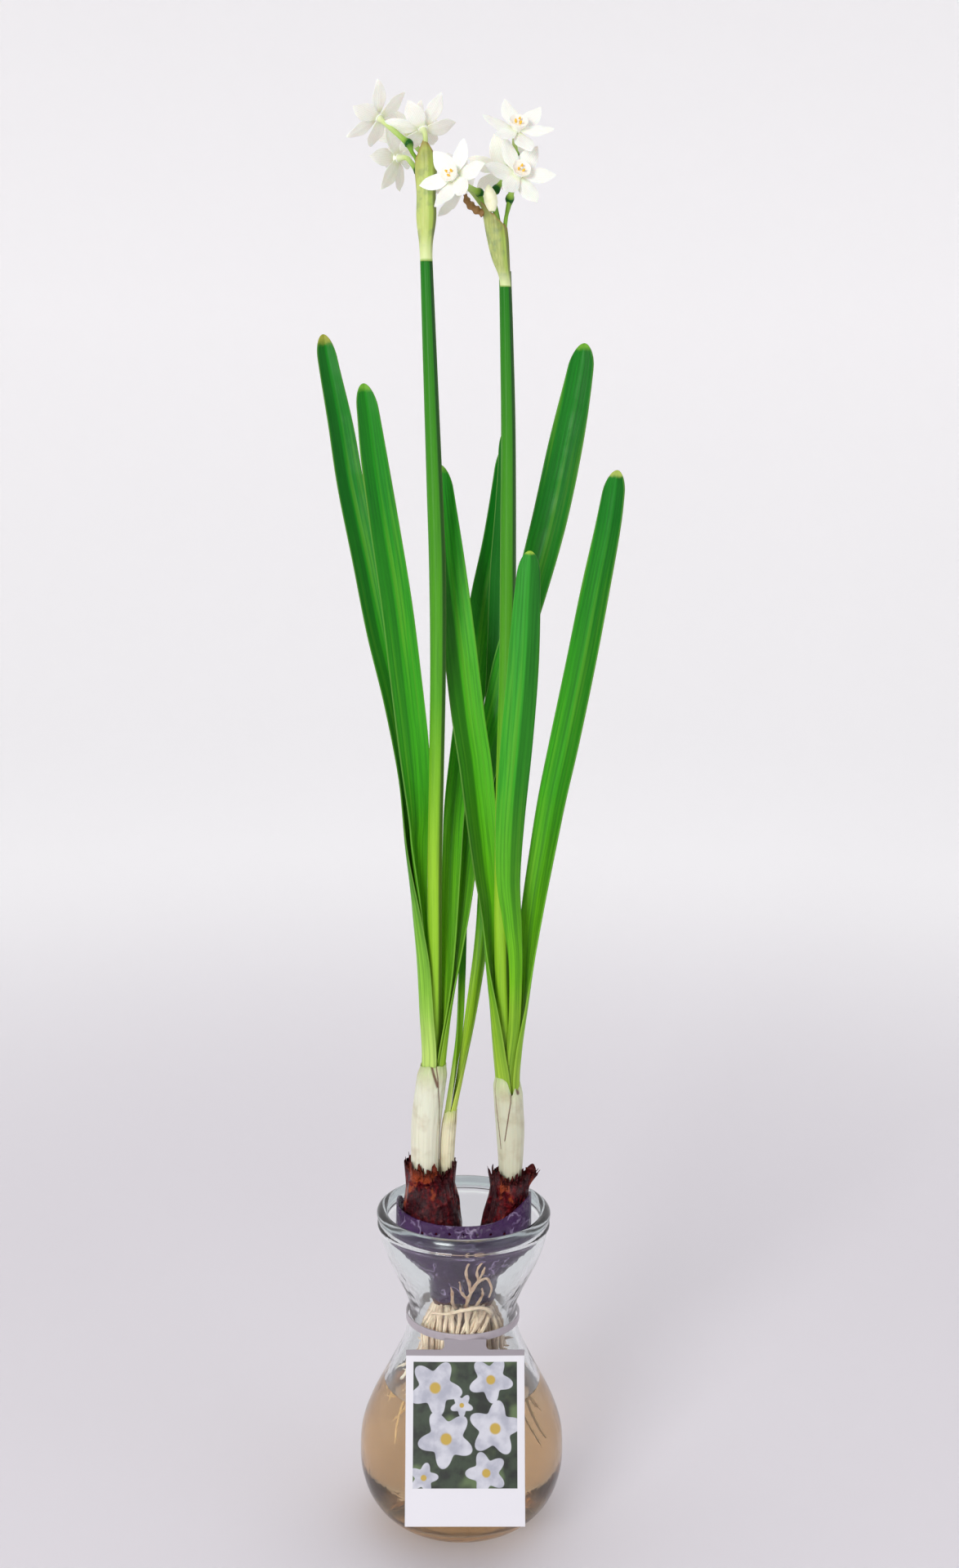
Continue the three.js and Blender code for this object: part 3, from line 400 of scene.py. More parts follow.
class Shader:
    """One material: a Principled shader and the nodes that feed it."""

    def __init__(self, name: str, **constants: float | tuple) -> None:
        """Starts a material.

        Args:
            name: Name of the material.
            constants: Values by socket name, with _ for a space.
        """
        self.material = bpy.data.materials.new(name)
        self.material.use_nodes = True
        self.tree = self.material.node_tree
        self.surface = self.tree.nodes["Principled BSDF"]
        for socket, value in constants.items():
            self.surface.inputs[socket.replace("_", " ")].default_value = value

    def node(
        self, kind: str, inputs: dict | None = None, stops: Sequence | None = None, **settings: object
    ) -> bpy.types.Node:
        """Adds a node: its settings first, then the values or links of its sockets.

        Args:
            kind: Blender's name of the node type.
            inputs: Values, sockets or plain numbers by socket name or number.
            stops: Places and screen colours of a colour ramp.
            settings: The node's own settings.

        Returns:
            The new node.
        """
        made = self.tree.nodes.new(kind)
        for name, value in settings.items():
            setattr(made, name, value)
        for k, (place, colour) in enumerate(stops or []):
            stop = made.color_ramp.elements[k] if k < 2 else made.color_ramp.elements.new(place)
            stop.position = place
            stop.color = linear(colour)
        for socket, value in (inputs or {}).items():
            self.feed(made.inputs[socket], value)
        return made

    def feed(self, socket: bpy.types.NodeSocket, value: object) -> None:
        """Links a socket to a value, or sets it.

        Args:
            socket: Input to feed.
            value: A value, an output or plain numbers.
        """
        source = value.socket if isinstance(value, Value) else value
        if isinstance(source, bpy.types.NodeSocket):
            self.tree.links.new(source, socket)
        else:
            socket.default_value = source

    def vary(self, socket: str, value: object) -> None:
        """Feeds one of the surface's own sockets."""
        self.feed(self.surface.inputs[socket], value)

    def spot(self, stretch: Point = (1, 1, 1)) -> bpy.types.NodeSocket:
        """The point's own place in millimetres, each axis multiplied by stretch.

        Args:
            stretch: Factor of each axis.

        Returns:
            The place as a vector.
        """
        place = self.node("ShaderNodeTexCoord").outputs["Object"]
        scale = tuple(s / MM for s in stretch)
        return self.node("ShaderNodeMapping", {"Vector": place, "Scale": scale}).outputs[0]

    def parts(self, vector: bpy.types.NodeSocket) -> list[Value]:
        """The three numbers of a vector."""
        return [Value(self, output) for output in self.node("ShaderNodeSeparateXYZ", {0: vector}).outputs]

    def height(self) -> Value:
        """Height above the foot in millimetres."""
        return self.parts(self.spot())[2]

    def traces(self) -> list[Value]:
        """The three surface marks that the mesh carries."""
        return self.parts(self.node("ShaderNodeAttribute", attribute_name=TRACE).outputs["Vector"])

    def noise(self, scale: float, detail: float = 2, stretch: Point = (1, 1, 1)) -> Value:
        """Cloudy noise from 0 to 1, with scale in waves for each millimetre."""
        inputs = {"Vector": self.spot(stretch), "Scale": scale, "Detail": detail}
        return Value(self, self.node("ShaderNodeTexNoise", inputs).outputs[0])

    def grain(self, across: Value, along: Value, scale: float) -> Value:
        """Noise from 0 to 1 in long streaks along a blade, with scale in waves for each millimetre across.

        Args:
            across: Millimetres across.
            along: Millimetres along.
            scale: Fineness.

        Returns:
            The noise.
        """
        vector = self.node("ShaderNodeCombineXYZ", {0: across, 1: along * 0.02}).outputs[0]
        node = self.node("ShaderNodeTexNoise", {"Vector": vector, "Scale": scale, "Detail": 2.0})
        return Value(self, node.outputs[0])

    def ramp(self, value: Value, stops: Sequence[tuple[float, Colour]]) -> bpy.types.NodeSocket:
        """Colour of a value through screen colours at given places."""
        return self.node("ShaderNodeValToRGB", {0: value}, stops).outputs[0]

    def mix(self, share: Value | float, under: object, over: object) -> bpy.types.NodeSocket:
        """Colour between two colours; a plain colour is a screen colour."""
        first, second = (linear(c) if isinstance(c, tuple) else c for c in (under, over))
        return self.node("ShaderNodeMix", {0: share, 6: first, 7: second}, data_type="RGBA").outputs[2]

    def coats(self, ground: object, *coats: tuple[Value | float, object]) -> bpy.types.NodeSocket:
        """Colour of a ground under coats, each a mask from 0 to 1 and the colour that it brings.

        Args:
            ground: Lowest colour.
            coats: Masks and colours from below.

        Returns:
            The colour on top.
        """
        for mask, tone in coats:
            ground = self.mix(mask, ground, tone)
        return ground

    def paint(self, ground: object, *coats: tuple[Value | float, object]) -> None:
        """Colours the surface with a ground under coats."""
        self.vary("Base Color", self.coats(ground, *coats))

    def relief(self, height: Value, distance: float, strength: float = 1) -> None:
        """Bumps the surface by a height of this many millimetres."""
        inputs = {"Height": height, "Distance": distance * MM, "Strength": strength}
        self.vary("Normal", self.node("ShaderNodeBump", inputs).outputs[0])

    def clear_to_lamps(self, tint: Colour) -> None:
        """Lets lamp light through a clear piece, tinted, so that what is inside is lit.

        Args:
            tint: Screen colour of the light that passes.
        """
        output = self.tree.nodes["Material Output"]
        through = self.node("ShaderNodeBsdfTransparent", {"Color": linear(tint)})
        ray = self.node("ShaderNodeLightPath").outputs["Is Shadow Ray"]
        mixed = self.node("ShaderNodeMixShader", {0: ray, 1: self.surface.outputs[0], 2: through.outputs[0]})
        self.tree.links.new(mixed.outputs[0], output.inputs["Surface"])


class Side(Enum):
    """Which half of a leaf gets the painted shade, seen on its hollow face."""

    LOW = -1
    NONE = 0
    HIGH = 1


@dataclass(frozen=True)
class GlassFinish:
    """Clear pressed glass, very slightly grey-green, with a faint waviness and a duller lip whose grey tint
    is painted shade for the darker reflections of the thick rim.
    """

    tint: Colour = (246, 250, 249)
    shade: Colour = (240, 244, 243)
    # painted shade: grey tint of the lip
    lip: Colour = (196, 208, 208)
    lip_heights: Span = (145.5, 148.5)
    polish: float = 0.015
    lip_dullness: float = 0.14

    def make(self) -> bpy.types.Material:
        """Builds the material.

        Returns:
            The material.
        """
        shader = Shader("clear_glass", IOR=1.48, Transmission_Weight=1.0)
        lip = shader.height().between(*self.lip_heights)
        # painted shade: the lip's grey tint stands for the darker reflections of the thick rim
        shader.paint(self.tint, (lip, self.lip))
        shader.vary("Roughness", lip * self.lip_dullness + self.polish)
        waves = shader.noise(0.12, 1.5) * 0.8 + shader.noise(0.5, 1, (1, 1, 0.4)) * 0.2
        shader.relief(waves, 0.5, 0.35)
        shader.clear_to_lamps(self.shade)
        return shader.material


@dataclass(frozen=True)
class WaterFinish:
    """Still water, browned by the bulbs."""

    tint: Colour = (218, 182, 140)
    shade: Colour = (228, 198, 162)

    def make(self) -> bpy.types.Material:
        """Builds the material.

        Returns:
            The material.
        """
        shader = Shader("brown_water", Roughness=0.0, IOR=1.333, Transmission_Weight=1.0)
        shader.vary("Base Color", linear(self.tint))
        shader.clear_to_lamps(self.shade)
        return shader.material


@dataclass(frozen=True)
class SleeveFinish:
    """Thin purple plastic that shows some of what lies behind it, with painted pale highlight lines along its
    creases.
    """

    deep: Colour = (28, 0, 40)
    pale: Colour = (84, 44, 102)
    # painted highlight colour of the creases
    line: Colour = (186, 168, 200)
    pale_heights: Span = (128, 156)
    cover: Span = (0.94, 0.68)

    def make(self) -> bpy.types.Material:
        """Builds the material.

        Returns:
            The material.
        """
        shader = Shader("purple_plastic", Roughness=0.2, Specular_IOR_Level=0.5)
        cloud = shader.noise(0.09, 3)
        share = shader.height().between(*self.pale_heights, 0.2, 0.6) + (cloud - 0.5) * 1.1
        # painted highlight: thin pale lines along the crease crests
        highlight_crest = abs(shader.noise(0.11, 3, (1, 1, 0.8)) - 0.5).between(0, 0.035, 1, 0)
        lines = highlight_crest * cloud.between(0.45, 0.6) * 0.55
        shader.paint(self.deep, (share, self.pale), (lines, self.line))
        shader.vary("Alpha", cloud.between(0.35, 0.65, *self.cover))
        shader.relief(shader.noise(0.14, 3) * 2 + shader.noise(0.4, 4, (1, 1, 0.6)), 1.1, 1.0)
        return shader.material


@dataclass(frozen=True)
class CardFinish:
    """Coated white card: mauve-grey top edge, plain printed flower-meadow panel and a bare strip under it.

    The surface marks hold millimetres across from the card's middle, millimetres down from its top edge,
    and 1 on the front face.
    """

    paper: Colour = (226, 225, 231)
    band: Colour = (150, 143, 150)
    ground: Colour = (52, 66, 50)
    dusk: Colour = (28, 34, 30)
    grass: Colour = (92, 112, 74)
    petal: Colour = (206, 207, 216)
    petal_shade: Colour = (168, 170, 184)
    eye: Colour = (190, 160, 70)
    panel: tuple[float, float, float, float] = (-23.4, 23.4, 5.2, 59.5)
    band_edge: Span = (2.4, 2.7)
    print_blur: float = 0.1
    blooms: Rows = (  # across, down, radius
        (-13.5, 16.5, 12.4), (11.5, 13, 10.2), (13.5, 34, 12.2), (-8.5, 38.5, 12.8), (9.5, 53, 9.4),
        (-18.5, 55, 6.6), (-1.5, 24, 5.2),
    )

    def bloom(self, across: Value, down: Value, spot: Sequence[float]) -> tuple[Value, Value]:
        """Masks of one five-petalled bloom and its eye: the edge is radius * (0.8 + 0.2 cos 5 a).

        Args:
            across: Place across the card.
            down: Place down the card.
            spot: The bloom's middle and radius.

        Returns:
            Mask of the petals and mask of the eye.
        """
        x, y = across - spot[0], down - spot[1]
        reach = (x * x + y * y).math("SQRT")
        angle = y.math("ARCTAN2", x)
        edge = ((angle * 5 + spot[0]).math("COSINE") * 0.2 + 0.8) * spot[2]
        petals = (reach - edge).between(-0.25, 0.25, 1, 0)
        eye = reach.between(0.16 * spot[2], 0.24 * spot[2], 1, 0)
        return petals, eye

    def make(self) -> bpy.types.Material:
        """Builds the material.

        Returns:
            The material.
        """
        shader = Shader("coated_card", Roughness=0.32, Coat_Weight=0.25, Coat_Roughness=0.15)
        across, down, front = shader.traces()
        left, right, top, bottom = self.panel
        panel = across.inside(left, right, self.print_blur) * down.inside(top, bottom, self.print_blur)
        cloud = shader.noise(0.16, 3)
        tufts = shader.noise(0.07, 2).between(0.5, 0.68)
        picture = shader.coats(self.ground, (cloud.between(0.35, 0.65), self.dusk), (tufts, self.grass))
        tone = shader.mix(cloud.between(0.3, 0.7), self.petal, self.petal_shade)
        for spot in self.blooms:
            petals, eye = self.bloom(across, down, spot)
            picture = shader.coats(picture, (petals, tone), (eye, self.eye))
        shader.paint(self.band, (down.between(*self.band_edge), self.paper), (panel * front, picture))
        shader.relief(shader.noise(3, 2), 0.02, 0.5)
        return shader.material


@dataclass(frozen=True)
class BandFinish:
    """The tag's plain mauve-grey neck loop."""

    tone: Colour = (178, 170, 176)
    mottle: Colour = (160, 151, 158)

    def make(self) -> bpy.types.Material:
        """Builds the material.

        Returns:
            The material.
        """
        shader = Shader("grey_band", Roughness=0.36, Coat_Weight=0.2, Coat_Roughness=0.2)
        shader.paint(self.tone, (shader.noise(0.3, 3), self.mottle))
        shader.relief(shader.noise(2, 2), 0.02, 0.5)
        return shader.material


@dataclass(frozen=True)
class TunicFinish:
    """Dry papery bulb skin: maroon brown with fibres, orange-brown plates, dark torn edges, and pinkish fold
    crests that are partly paler skin and partly painted highlight.

    The third surface mark is 1 at a torn edge and 0 away from it.
    """

    dark: Colour = (56, 0, 14)
    warm: Colour = (116, 16, 22)
    plate: Colour = (168, 72, 34)
    crack: Colour = (36, 0, 10)
    # pinkish fold crests: partly paler skin, partly painted highlight of the crumples
    fold: Colour = (170, 96, 86)
    torn: Colour = (58, 16, 16)
    gloss: float = 0.5

    def make(self) -> bpy.types.Material:
        """Builds the material.

        Returns:
            The material.
        """
        shader = Shader("papery_tunic", Roughness=0.5, Specular_IOR_Level=0.2, Coat_Roughness=0.1)
        fibres = shader.noise(0.6, 4, (1.1, 1.1, 0.7))
        plates = shader.noise(0.085, 5, (1, 1, 0.8))
        folds = shader.noise(0.24, 5)
        torn = shader.traces()[2].between(0.2, 0.9)
        shader.paint(
            self.dark,
            (fibres.between(0.35, 0.7), self.warm),
            (plates.between(0.56, 0.6) * 0.8, self.plate),
            (plates.between(0.455, 0.47, 0.7, 0), self.crack),
            # pinkish fold crests: partly paler skin, partly painted highlight
            (folds.between(0.6, 0.72) * 0.35, self.fold),
            (torn * 0.7, self.torn),
        )
        wet = shader.noise(0.11, 3).between(0.42, 0.56)
        shader.vary("Coat Weight", wet * (1 - torn) * self.gloss)
        shader.relief(plates.between(0.45, 0.56) * 0.5 + fibres * 0.15 + folds * 3, 2.6, 1.0)
        return shader.material


@dataclass(frozen=True)
class RootFinish:
    """Damp cream roots, browner in patches and along thin old ones, and paler under water.

    The third surface mark is how brown a strand is, from 0 to 1.
    """

    fresh: Colour = (226, 202, 176)
    old: Colour = (140, 98, 70)
    soaked_fresh: Colour = (248, 240, 226)
    soaked_old: Colour = (186, 150, 116)
    soaked_heights: Span = (58, 84)

    def make(self) -> bpy.types.Material:
        """Builds the material.

        Returns:
            The material.
        """
        shader = Shader("cream_roots", Roughness=0.42, Subsurface_Weight=0.08, Subsurface_Scale=0.002)
        patches = shader.noise(0.25, 3).between(0.5, 0.75) * 0.5
        brown = shader.traces()[2]
        dry = shader.mix(patches + brown, self.fresh, self.old)
        soaked = shader.mix(patches * 0.6 + brown * 0.6, self.soaked_fresh, self.soaked_old)
        shader.paint(soaked, (shader.height().between(*self.soaked_heights), dry))
        shader.relief(shader.noise(1.2, 3), 0.15, 0.6)
        return shader.material


@dataclass(frozen=True)
class SheathFinish:
    """Pale cream sheath that turns green towards its top, with fine veins and a few brown lines.

    The surface marks hold the turn in degrees, the distance below the top edge and a brown-line mask.
    """

    name: str
    cream: Colour = (226, 226, 204)
    green: Colour = (196, 206, 150)
    green_reach: float = 14
    rim: Colour = (176, 200, 112)
    vein: Colour = (196, 192, 164)
    stain: Colour = (150, 120, 74)
    line: Colour = (92, 40, 20)

    def make(self) -> bpy.types.Material:
        """Builds the material.

        Returns:
            The material.
        """
        shader = Shader(self.name, Roughness=0.4, Subsurface_Weight=0.12, Subsurface_Scale=0.003)
        _, below, line = shader.traces()
        veins = shader.noise(1.1, 3, (1, 1, 0.03))
        shader.paint(
            self.green,
            (below.between(0, self.green_reach), self.cream),
            (below.between(0, 2.4, 0.5, 0), self.rim),
            (veins.between(0.4, 0.7) * 0.4, self.vein),
            (shader.noise(0.12, 3).between(0.5, 0.75) * 0.3, self.stain),
            (line * 0.9, self.line),
        )
        shader.relief(veins, 0.25, 0.5)
        return shader.material


@dataclass(frozen=True)
class LeafFinish:
    """Waxy strap leaf: pale at its base, vivid, then deep green, with veins along it and a marked tip; one
    half of the blade can carry painted shade and both edges a faint painted highlight.

    The surface marks hold -1 to 1 across the blade, millimetres below the tip, and millimetres across.
    """

    name: str
    base: Colour = (178, 208, 70)
    low: Colour = (118, 190, 26)
    middle: Colour = (64, 168, 22)
    high: Colour = (22, 128, 28)
    heights: tuple[float, float, float, float] = (200, 262, 350, 470)
    shaded_side: Side = Side.NONE
    shade_depth: float = 0.45
    shade_from: float = 255
    tip: Colour = (110, 170, 50)
    tip_reach: float = 2.5
    vein: Colour = (16, 84, 18)
    dark_streak: Colour = (14, 88, 22)
    pale_streak: Colour = (132, 196, 52)
    # painted shade colour of the darker half of the blade
    painted_shade: Colour = (10, 66, 18)
    # painted highlight colour of the pale line along the blade's edges
    rim: Colour = (150, 190, 90)

    def make(self) -> bpy.types.Material:
        """Builds the material.

        Returns:
            The material.
        """
        shader = Shader(self.name, Roughness=0.4, Specular_IOR_Level=0.15)
        across, below, distance = shader.traces()
        height = shader.height() + (shader.noise(0.03, 3) - 0.5) * 50
        lowest, highest = self.heights[0], self.heights[-1]
        places = [(h - lowest) / (highest - lowest) for h in self.heights]
        tones = [self.base, self.low, self.middle, self.high]
        body = shader.ramp((height - lowest) * (1 / (highest - lowest)), list(zip(places, tones)))
        veins = shader.grain(distance, below, 1.7) + (across * 26).math("SINE") * 0.1
        broad = shader.grain(distance + 40, below, 0.32)
        # painted shade: mask of the half of the blade that is darkened
        shade_mask = (across * self.shaded_side.value).between(0.02, 0.3) * self.shade_depth
        ragged = below + (shader.noise(0.5, 3) - 0.5) * self.tip_reach
        shader.paint(
            body,
            (veins.between(0.35, 0.75) * 0.34, self.vein),
            (broad.between(0.48, 0.7) * 0.4, self.dark_streak),
            (broad.between(0.3, 0.46, 1, 0) * 0.3, self.pale_streak),
            # painted shade: one half of the blade darkened above a set height
            (shade_mask * height.between(self.shade_from, self.shade_from + 75), self.painted_shade),
            # painted highlight: faint pale line along both edges of the blade
            (abs(across).between(0.92, 0.99) * 0.25, self.rim),
            (ragged.between(self.tip_reach * 0.5, self.tip_reach * 1.5, 1, 0), self.tip),
        )
        shader.vary("Roughness", shader.noise(0.12, 3).between(0.3, 0.7, 0.36, 0.54))
        shader.relief(veins, 0.12, 0.5)
        return shader.material


@dataclass(frozen=True)
class StemFinish:
    """Smooth ribbed flower stem, its stalks, ovaries and tubes; the main stem's right side is darkened with
    painted shade.

    The surface marks hold the sideways direction of the surface from -1 to 1, the place along a stalk from 0
    at its foot to 1 at the flower (-1 on the main stem), and the rib mask.
    """

    name: str
    low: Colour = (150, 202, 48)
    middle: Colour = (86, 164, 32)
    high: Colour = (24, 118, 18)
    # painted shade colour of the main stem's right side
    dark: Colour = (4, 40, 10)
    streak: Colour = (30, 90, 34)
    rib: Colour = (150, 190, 90)
    foot: float = 240
    rise: float = 330
    stalk: tuple[tuple[float, Colour], ...] = (
        (0, (130, 176, 60)), (1, (230, 236, 200)), (0.36, (126, 170, 60)), (0.46, (20, 84, 20)),
        (0.56, (24, 92, 22)), (0.66, (150, 190, 76)), (0.85, (206, 222, 150)),
    )

    def make(self) -> bpy.types.Material:
        """Builds the material.

        Returns:
            The material.
        """
        shader = Shader(self.name, Roughness=0.4, Specular_IOR_Level=0.22)
        side, along, rib = shader.traces()
        share = (shader.height() - self.foot) * (1 / self.rise)
        body = shader.ramp(share, [(0, self.low), (0.45, self.middle), (1, self.high), (0.22, self.low)])
        streaks = shader.noise(1.3, 2, (1, 1, 0.02))
        shader.paint(
            body,
            # painted shade: the main stem's right side darkened
            (side.between(0.5, 0.72) * 0.75, self.dark),
            (streaks.between(0.45, 0.75) * 0.25, self.streak),
            (rib * 0.3, self.rib),
            (along.between(-0.6, -0.3), shader.ramp(along, self.stalk)),
        )
        shader.relief(streaks, 0.12, 0.5)
        return shader.material


@dataclass(frozen=True)
class SpatheFinish:
    """Papery spathe: pale yellow-green with grey-green blotches, fine veins and brown withered parts; its
    right half turns a deeper green and its right edge dark as painted shade.

    The surface marks hold the sideways direction, the share of the height, and how withered the place is.
    """

    name: str
    body: Colour = (190, 206, 112)
    blotch: Colour = (112, 134, 100)
    withered: Colour = (150, 112, 60)
    blotch_share: float = 0.4
    vein: Colour = (216, 224, 150)
    # painted shade colours: a deeper green half-tone and a dark edge on the tube's right side
    half_shade: Colour = (150, 190, 40)
    painted_shade: Colour = (84, 90, 34)
    top: Colour = (150, 150, 60)
    foot: Colour = (222, 234, 172)
    ring: Colour = (150, 186, 84)

    def make(self) -> bpy.types.Material:
        """Builds the material.

        Returns:
            The material.
        """
        shader = Shader(self.name, Roughness=0.5, Subsurface_Weight=0.1, Subsurface_Scale=0.002)
        side, share, dry = shader.traces()
        veins = shader.noise(1.2, 3, (1, 1, 0.06))
        shader.paint(
            self.body,
            (veins.between(0.4, 0.7) * 0.35, self.vein),
            # painted shade: a deeper green over the right half of the tube
            (side.between(0, 0.5) * 0.5, self.half_shade),
            (shader.noise(0.16, 3).between(0.5, 0.66) * self.blotch_share, self.blotch),
            # painted shade: darker right edge of the tube
            (side.between(0.6, 0.85) * 0.75, self.painted_shade),
            (share.between(0.7, 0.9) * 0.45, self.top),
            (share.between(0, 0.3, 0.85, 0), self.foot),
            (share.between(0, 0.03, 1, 0), self.ring),
            (dry, self.withered),
        )
        shader.relief(veins, 0.4, 0.6)
        return shader.material


@dataclass(frozen=True)
class PetalFinish:
    """Soft white petal with faint long veins and a yellow-green flush at its foot, brightened by a faint
    painted glow (an emission).

    The surface marks hold -1 to 1 across, the distance from the flower's axis and millimetres across.
    """

    white: Colour = (250, 249, 241)
    vein: Colour = (224, 224, 214)
    flush: Colour = (226, 232, 190)
    # painted light: colour and strength of the petal's faint emission
    glow: tuple[float, float, float, float] = (0.93, 0.93, 0.9, 1)
    glow_strength: float = 0.04

    def make(self) -> bpy.types.Material:
        """Builds the material.

        Returns:
            The material.
        """
        shader = Shader(
            "white_petal", Roughness=0.46, Subsurface_Weight=0.25, Subsurface_Scale=0.002,
            Emission_Color=self.glow, Emission_Strength=self.glow_strength,
        )
        _, out, distance = shader.traces()
        veins = (distance * 9).math("SINE") * 0.3 + shader.noise(1.4, 2)
        flushed = out.between(1.5, 5, 0.8, 0)
        shader.paint(self.white, (veins.between(0.3, 1.0) * 0.4, self.vein), (flushed, self.flush))
        shader.relief(veins, 0.15, 0.4)
        return shader.material


@dataclass(frozen=True)
class PlainFinish:
    """A small soft plant part in one tone with mottling and a fine grain."""

    name: str
    tone: Colour
    mottle: Colour
    roughness: float = 0.5
    grain: float = 0.2

    def make(self) -> bpy.types.Material:
        """Builds the material.

        Returns:
            The material.
        """
        shader = Shader(self.name, Roughness=self.roughness, Subsurface_Weight=0.1, Subsurface_Scale=0.0015)
        shader.paint(self.tone, (shader.noise(0.9, 3).between(0.4, 0.7) * 0.7, self.mottle))
        shader.relief(shader.noise(2.5, 2), self.grain, 0.5)
        return shader.material


# ------------------------ the vase and what stands in it


@dataclass
class Vase:
    """Waisted bulb vase with a thick foot, a bead and a rounded lip, and the water in its belly."""

    sides: int = 144
    foot: float = 26.5
    floor: float = 6
    outside: Rows = (
        (0.7, 28.6), (5, 36.4), (13, 42.9), (23, 46.5), (33, 47.42), (45, 46.5), (57, 42.4), (69, 36.4),
        (81, 30.3), (90, 26.6), (100, 24.7), (107, 25.1), (113, 27.3), (120, 30.6), (128, 34.4), (136, 37.4),
        (142, 38.6),
    )
    inside: Rows = (
        (7, 21), (10, 32), (16, 39.6), (24, 43.1), (33, 44.2), (45, 43.3), (57, 39.2), (69, 33.1),
        (81, 27), (90, 23.2), (100, 21), (107, 21.3), (113, 23.4), (120, 26.8), (128, 30.7), (136, 33.6),
        (146, 34.9),
    )
    bead: tuple[float, float] = (144.6, 39.5)  # height and radius
    lip: tuple[float, float, float] = (149.5, 37.4, 2.45)  # height, radius and radius of its rounding
    water_level: float = 66.5
    water_bite: float = 0.12

    def curve(self, rows: Rows, steps: int) -> np.ndarray:
        """Height and radius through rows, with this many steps between neighbours."""
        return through(rows, steps * (len(rows) - 1) + 1)

    def inner_radius(self, height: np.ndarray) -> np.ndarray:
        """Radius of the inner wall at a height."""
        wall = self.curve(self.inside, 8)
        return np.interp(height, wall[:, 0], wall[:, 1])

    def build_glass(self) -> None:
        """Turns one closed outline: foot, belly, waist, cup, bead, lip, inner wall and floor."""
        foot = [(1.1, r) for r in (4, 16, 21)] + [(0.35, 23.4), (0, 24.6), (0, self.foot), (0.12, 27.6)]
        z, r = self.bead
        bead = [(z + 1.15 * math.sin(a), r - 0.75 + 0.85 * math.cos(a)) for a in np.linspace(-1.3, 1.3, 9)]
        height, radius, thick = self.lip
        around = np.radians(np.linspace(-42, 213, 30))
        lip = np.stack([height + thick * np.sin(around), radius + thick * np.cos(around)], 1)
        inner = self.curve(self.inside, 4)[::-1]
        floor = [(self.floor + 0.55, 14), (self.floor + 0.2, 8), (self.floor, 3)]
        outline = np.concatenate([foot, self.curve(self.outside, 4), bead, lip, inner, floor])
        shape = Shape()
        shape.loft(rounds(*outline.T, self.sides))
        piece = shape.make("bulb_vase_glass", [GlassFinish().make()], crease=70)
        settle(piece, "clear_glass", "glass_vase")

    def build_water(self) -> None:
        """Fills the belly; its side bites a little into the glass, so that light bends once between them."""
        level, bite = self.water_level, self.water_bite
        wall = self.curve(self.inside, 4)
        wall = wall[wall[:, 0] < level - 1.5] + np.array([0, bite])
        edge = float(self.inner_radius(np.array(level))) + bite
        rim = [(level - 0.1, edge), (level + 0.5, edge - 0.05), (level, edge - 1.6)]
        surface = [(level - 0.1, r) for r in (edge - 3.2, 12, 2)]
        floor = [(self.floor - 0.12, 3), (self.floor + 0.08, 8), (self.floor + 0.43, 14)]
        shape = Shape()
        shape.loft(rounds(*np.concatenate([floor, wall, rim, surface]).T, self.sides))
        piece = shape.make("vase_water", [WaterFinish().make()], crease=60)
        settle(piece, "water", "water")

    def build(self) -> None:
        """Builds the glass and the water."""
        self.build_glass()
        self.build_water()


@dataclass
class Sleeve:
    """Thin purple funnel that wedges in the cup and holds both bulbs, with small holes near its top edge."""

    sides: int = 120
    wall: float = 0.7
    squareness: float = 2.9
    rows: Rows = (  # height, half width, half depth
        (111.5, 15.4, 13.2), (119, 15.6, 13.8), (123, 16.8, 14.6), (127.5, 22, 16), (131, 26, 16.8),
        (135, 29.4, 17.3), (140, 31, 17.4), (149, 30.9, 16.6),
    )
    rise: float = 5.5
    lobe: float = 6
    lobe_turn: float = 0.35
    dip: float = 15
    holes: int = 7
    hole_radius: float = 0.6
    hole_height: float = 145.5
    hole_gap: float = 6.2

    def rings(self, inset: float) -> np.ndarray:
        """Ovals through the rows, whose top edge rises beside the bulbs and dips at the back.

        Args:
            inset: Distance inside the outer face.

        Returns:
            Points as rings x sides x 3.
        """
        z, wide, deep = through(self.rows, 49).T
        angles = turns(self.sides)
        rings = ovals(np.stack([z, 0 * z, 0 * z, wide - inset, deep - inset], 1), angles, self.squareness)
        corner = self.lobe * np.maximum(0, np.cos(angles + self.lobe_turn)) ** 4
        raised = self.rise * np.abs(np.cos(angles)) ** 1.5 + corner
        upper = smooth(z, 140, 149)[:, None] * raised
        rings[..., 2] += upper - smooth(z, 126, 149)[:, None] * self.dip * smooth(np.sin(angles), 0.3, 0.9)
        return rings

    def pins(self) -> bpy.types.Object:
        """Round pins along Y that cut the holes.

        Returns:
            The pins as one object.
        """
        shape = Shape()
        for k in range(self.holes):
            x = (k - (self.holes - 1) / 2) * self.hole_gap
            path = np.array([(x, y, self.hole_height) for y in (-30.0, 0.0, 30.0)])
            shape.loft(tube(path, np.full(3, self.hole_radius), 12))
        return shape.make("sleeve_pins", [])

    def build(self) -> None:
        """Builds the funnel and cuts its holes."""
        shape = Shape()
        shape.loft(up_and_down(self.rings(0), self.rings(self.wall)), closed=True)
        piece = shape.make("bulb_sleeve_film", [SleeveFinish().make()])
        pins = self.pins()
        cut = piece.modifiers.new("holes", "BOOLEAN")
        cut.operation = "DIFFERENCE"
        cut.object = pins
        ready = piece.evaluated_get(bpy.context.evaluated_depsgraph_get())
        piece.data = bpy.data.meshes.new_from_object(ready)
        piece.modifiers.clear()
        bpy.data.objects.remove(pins)
        settle(piece, "tinted_plastic", "bulb_sleeve")


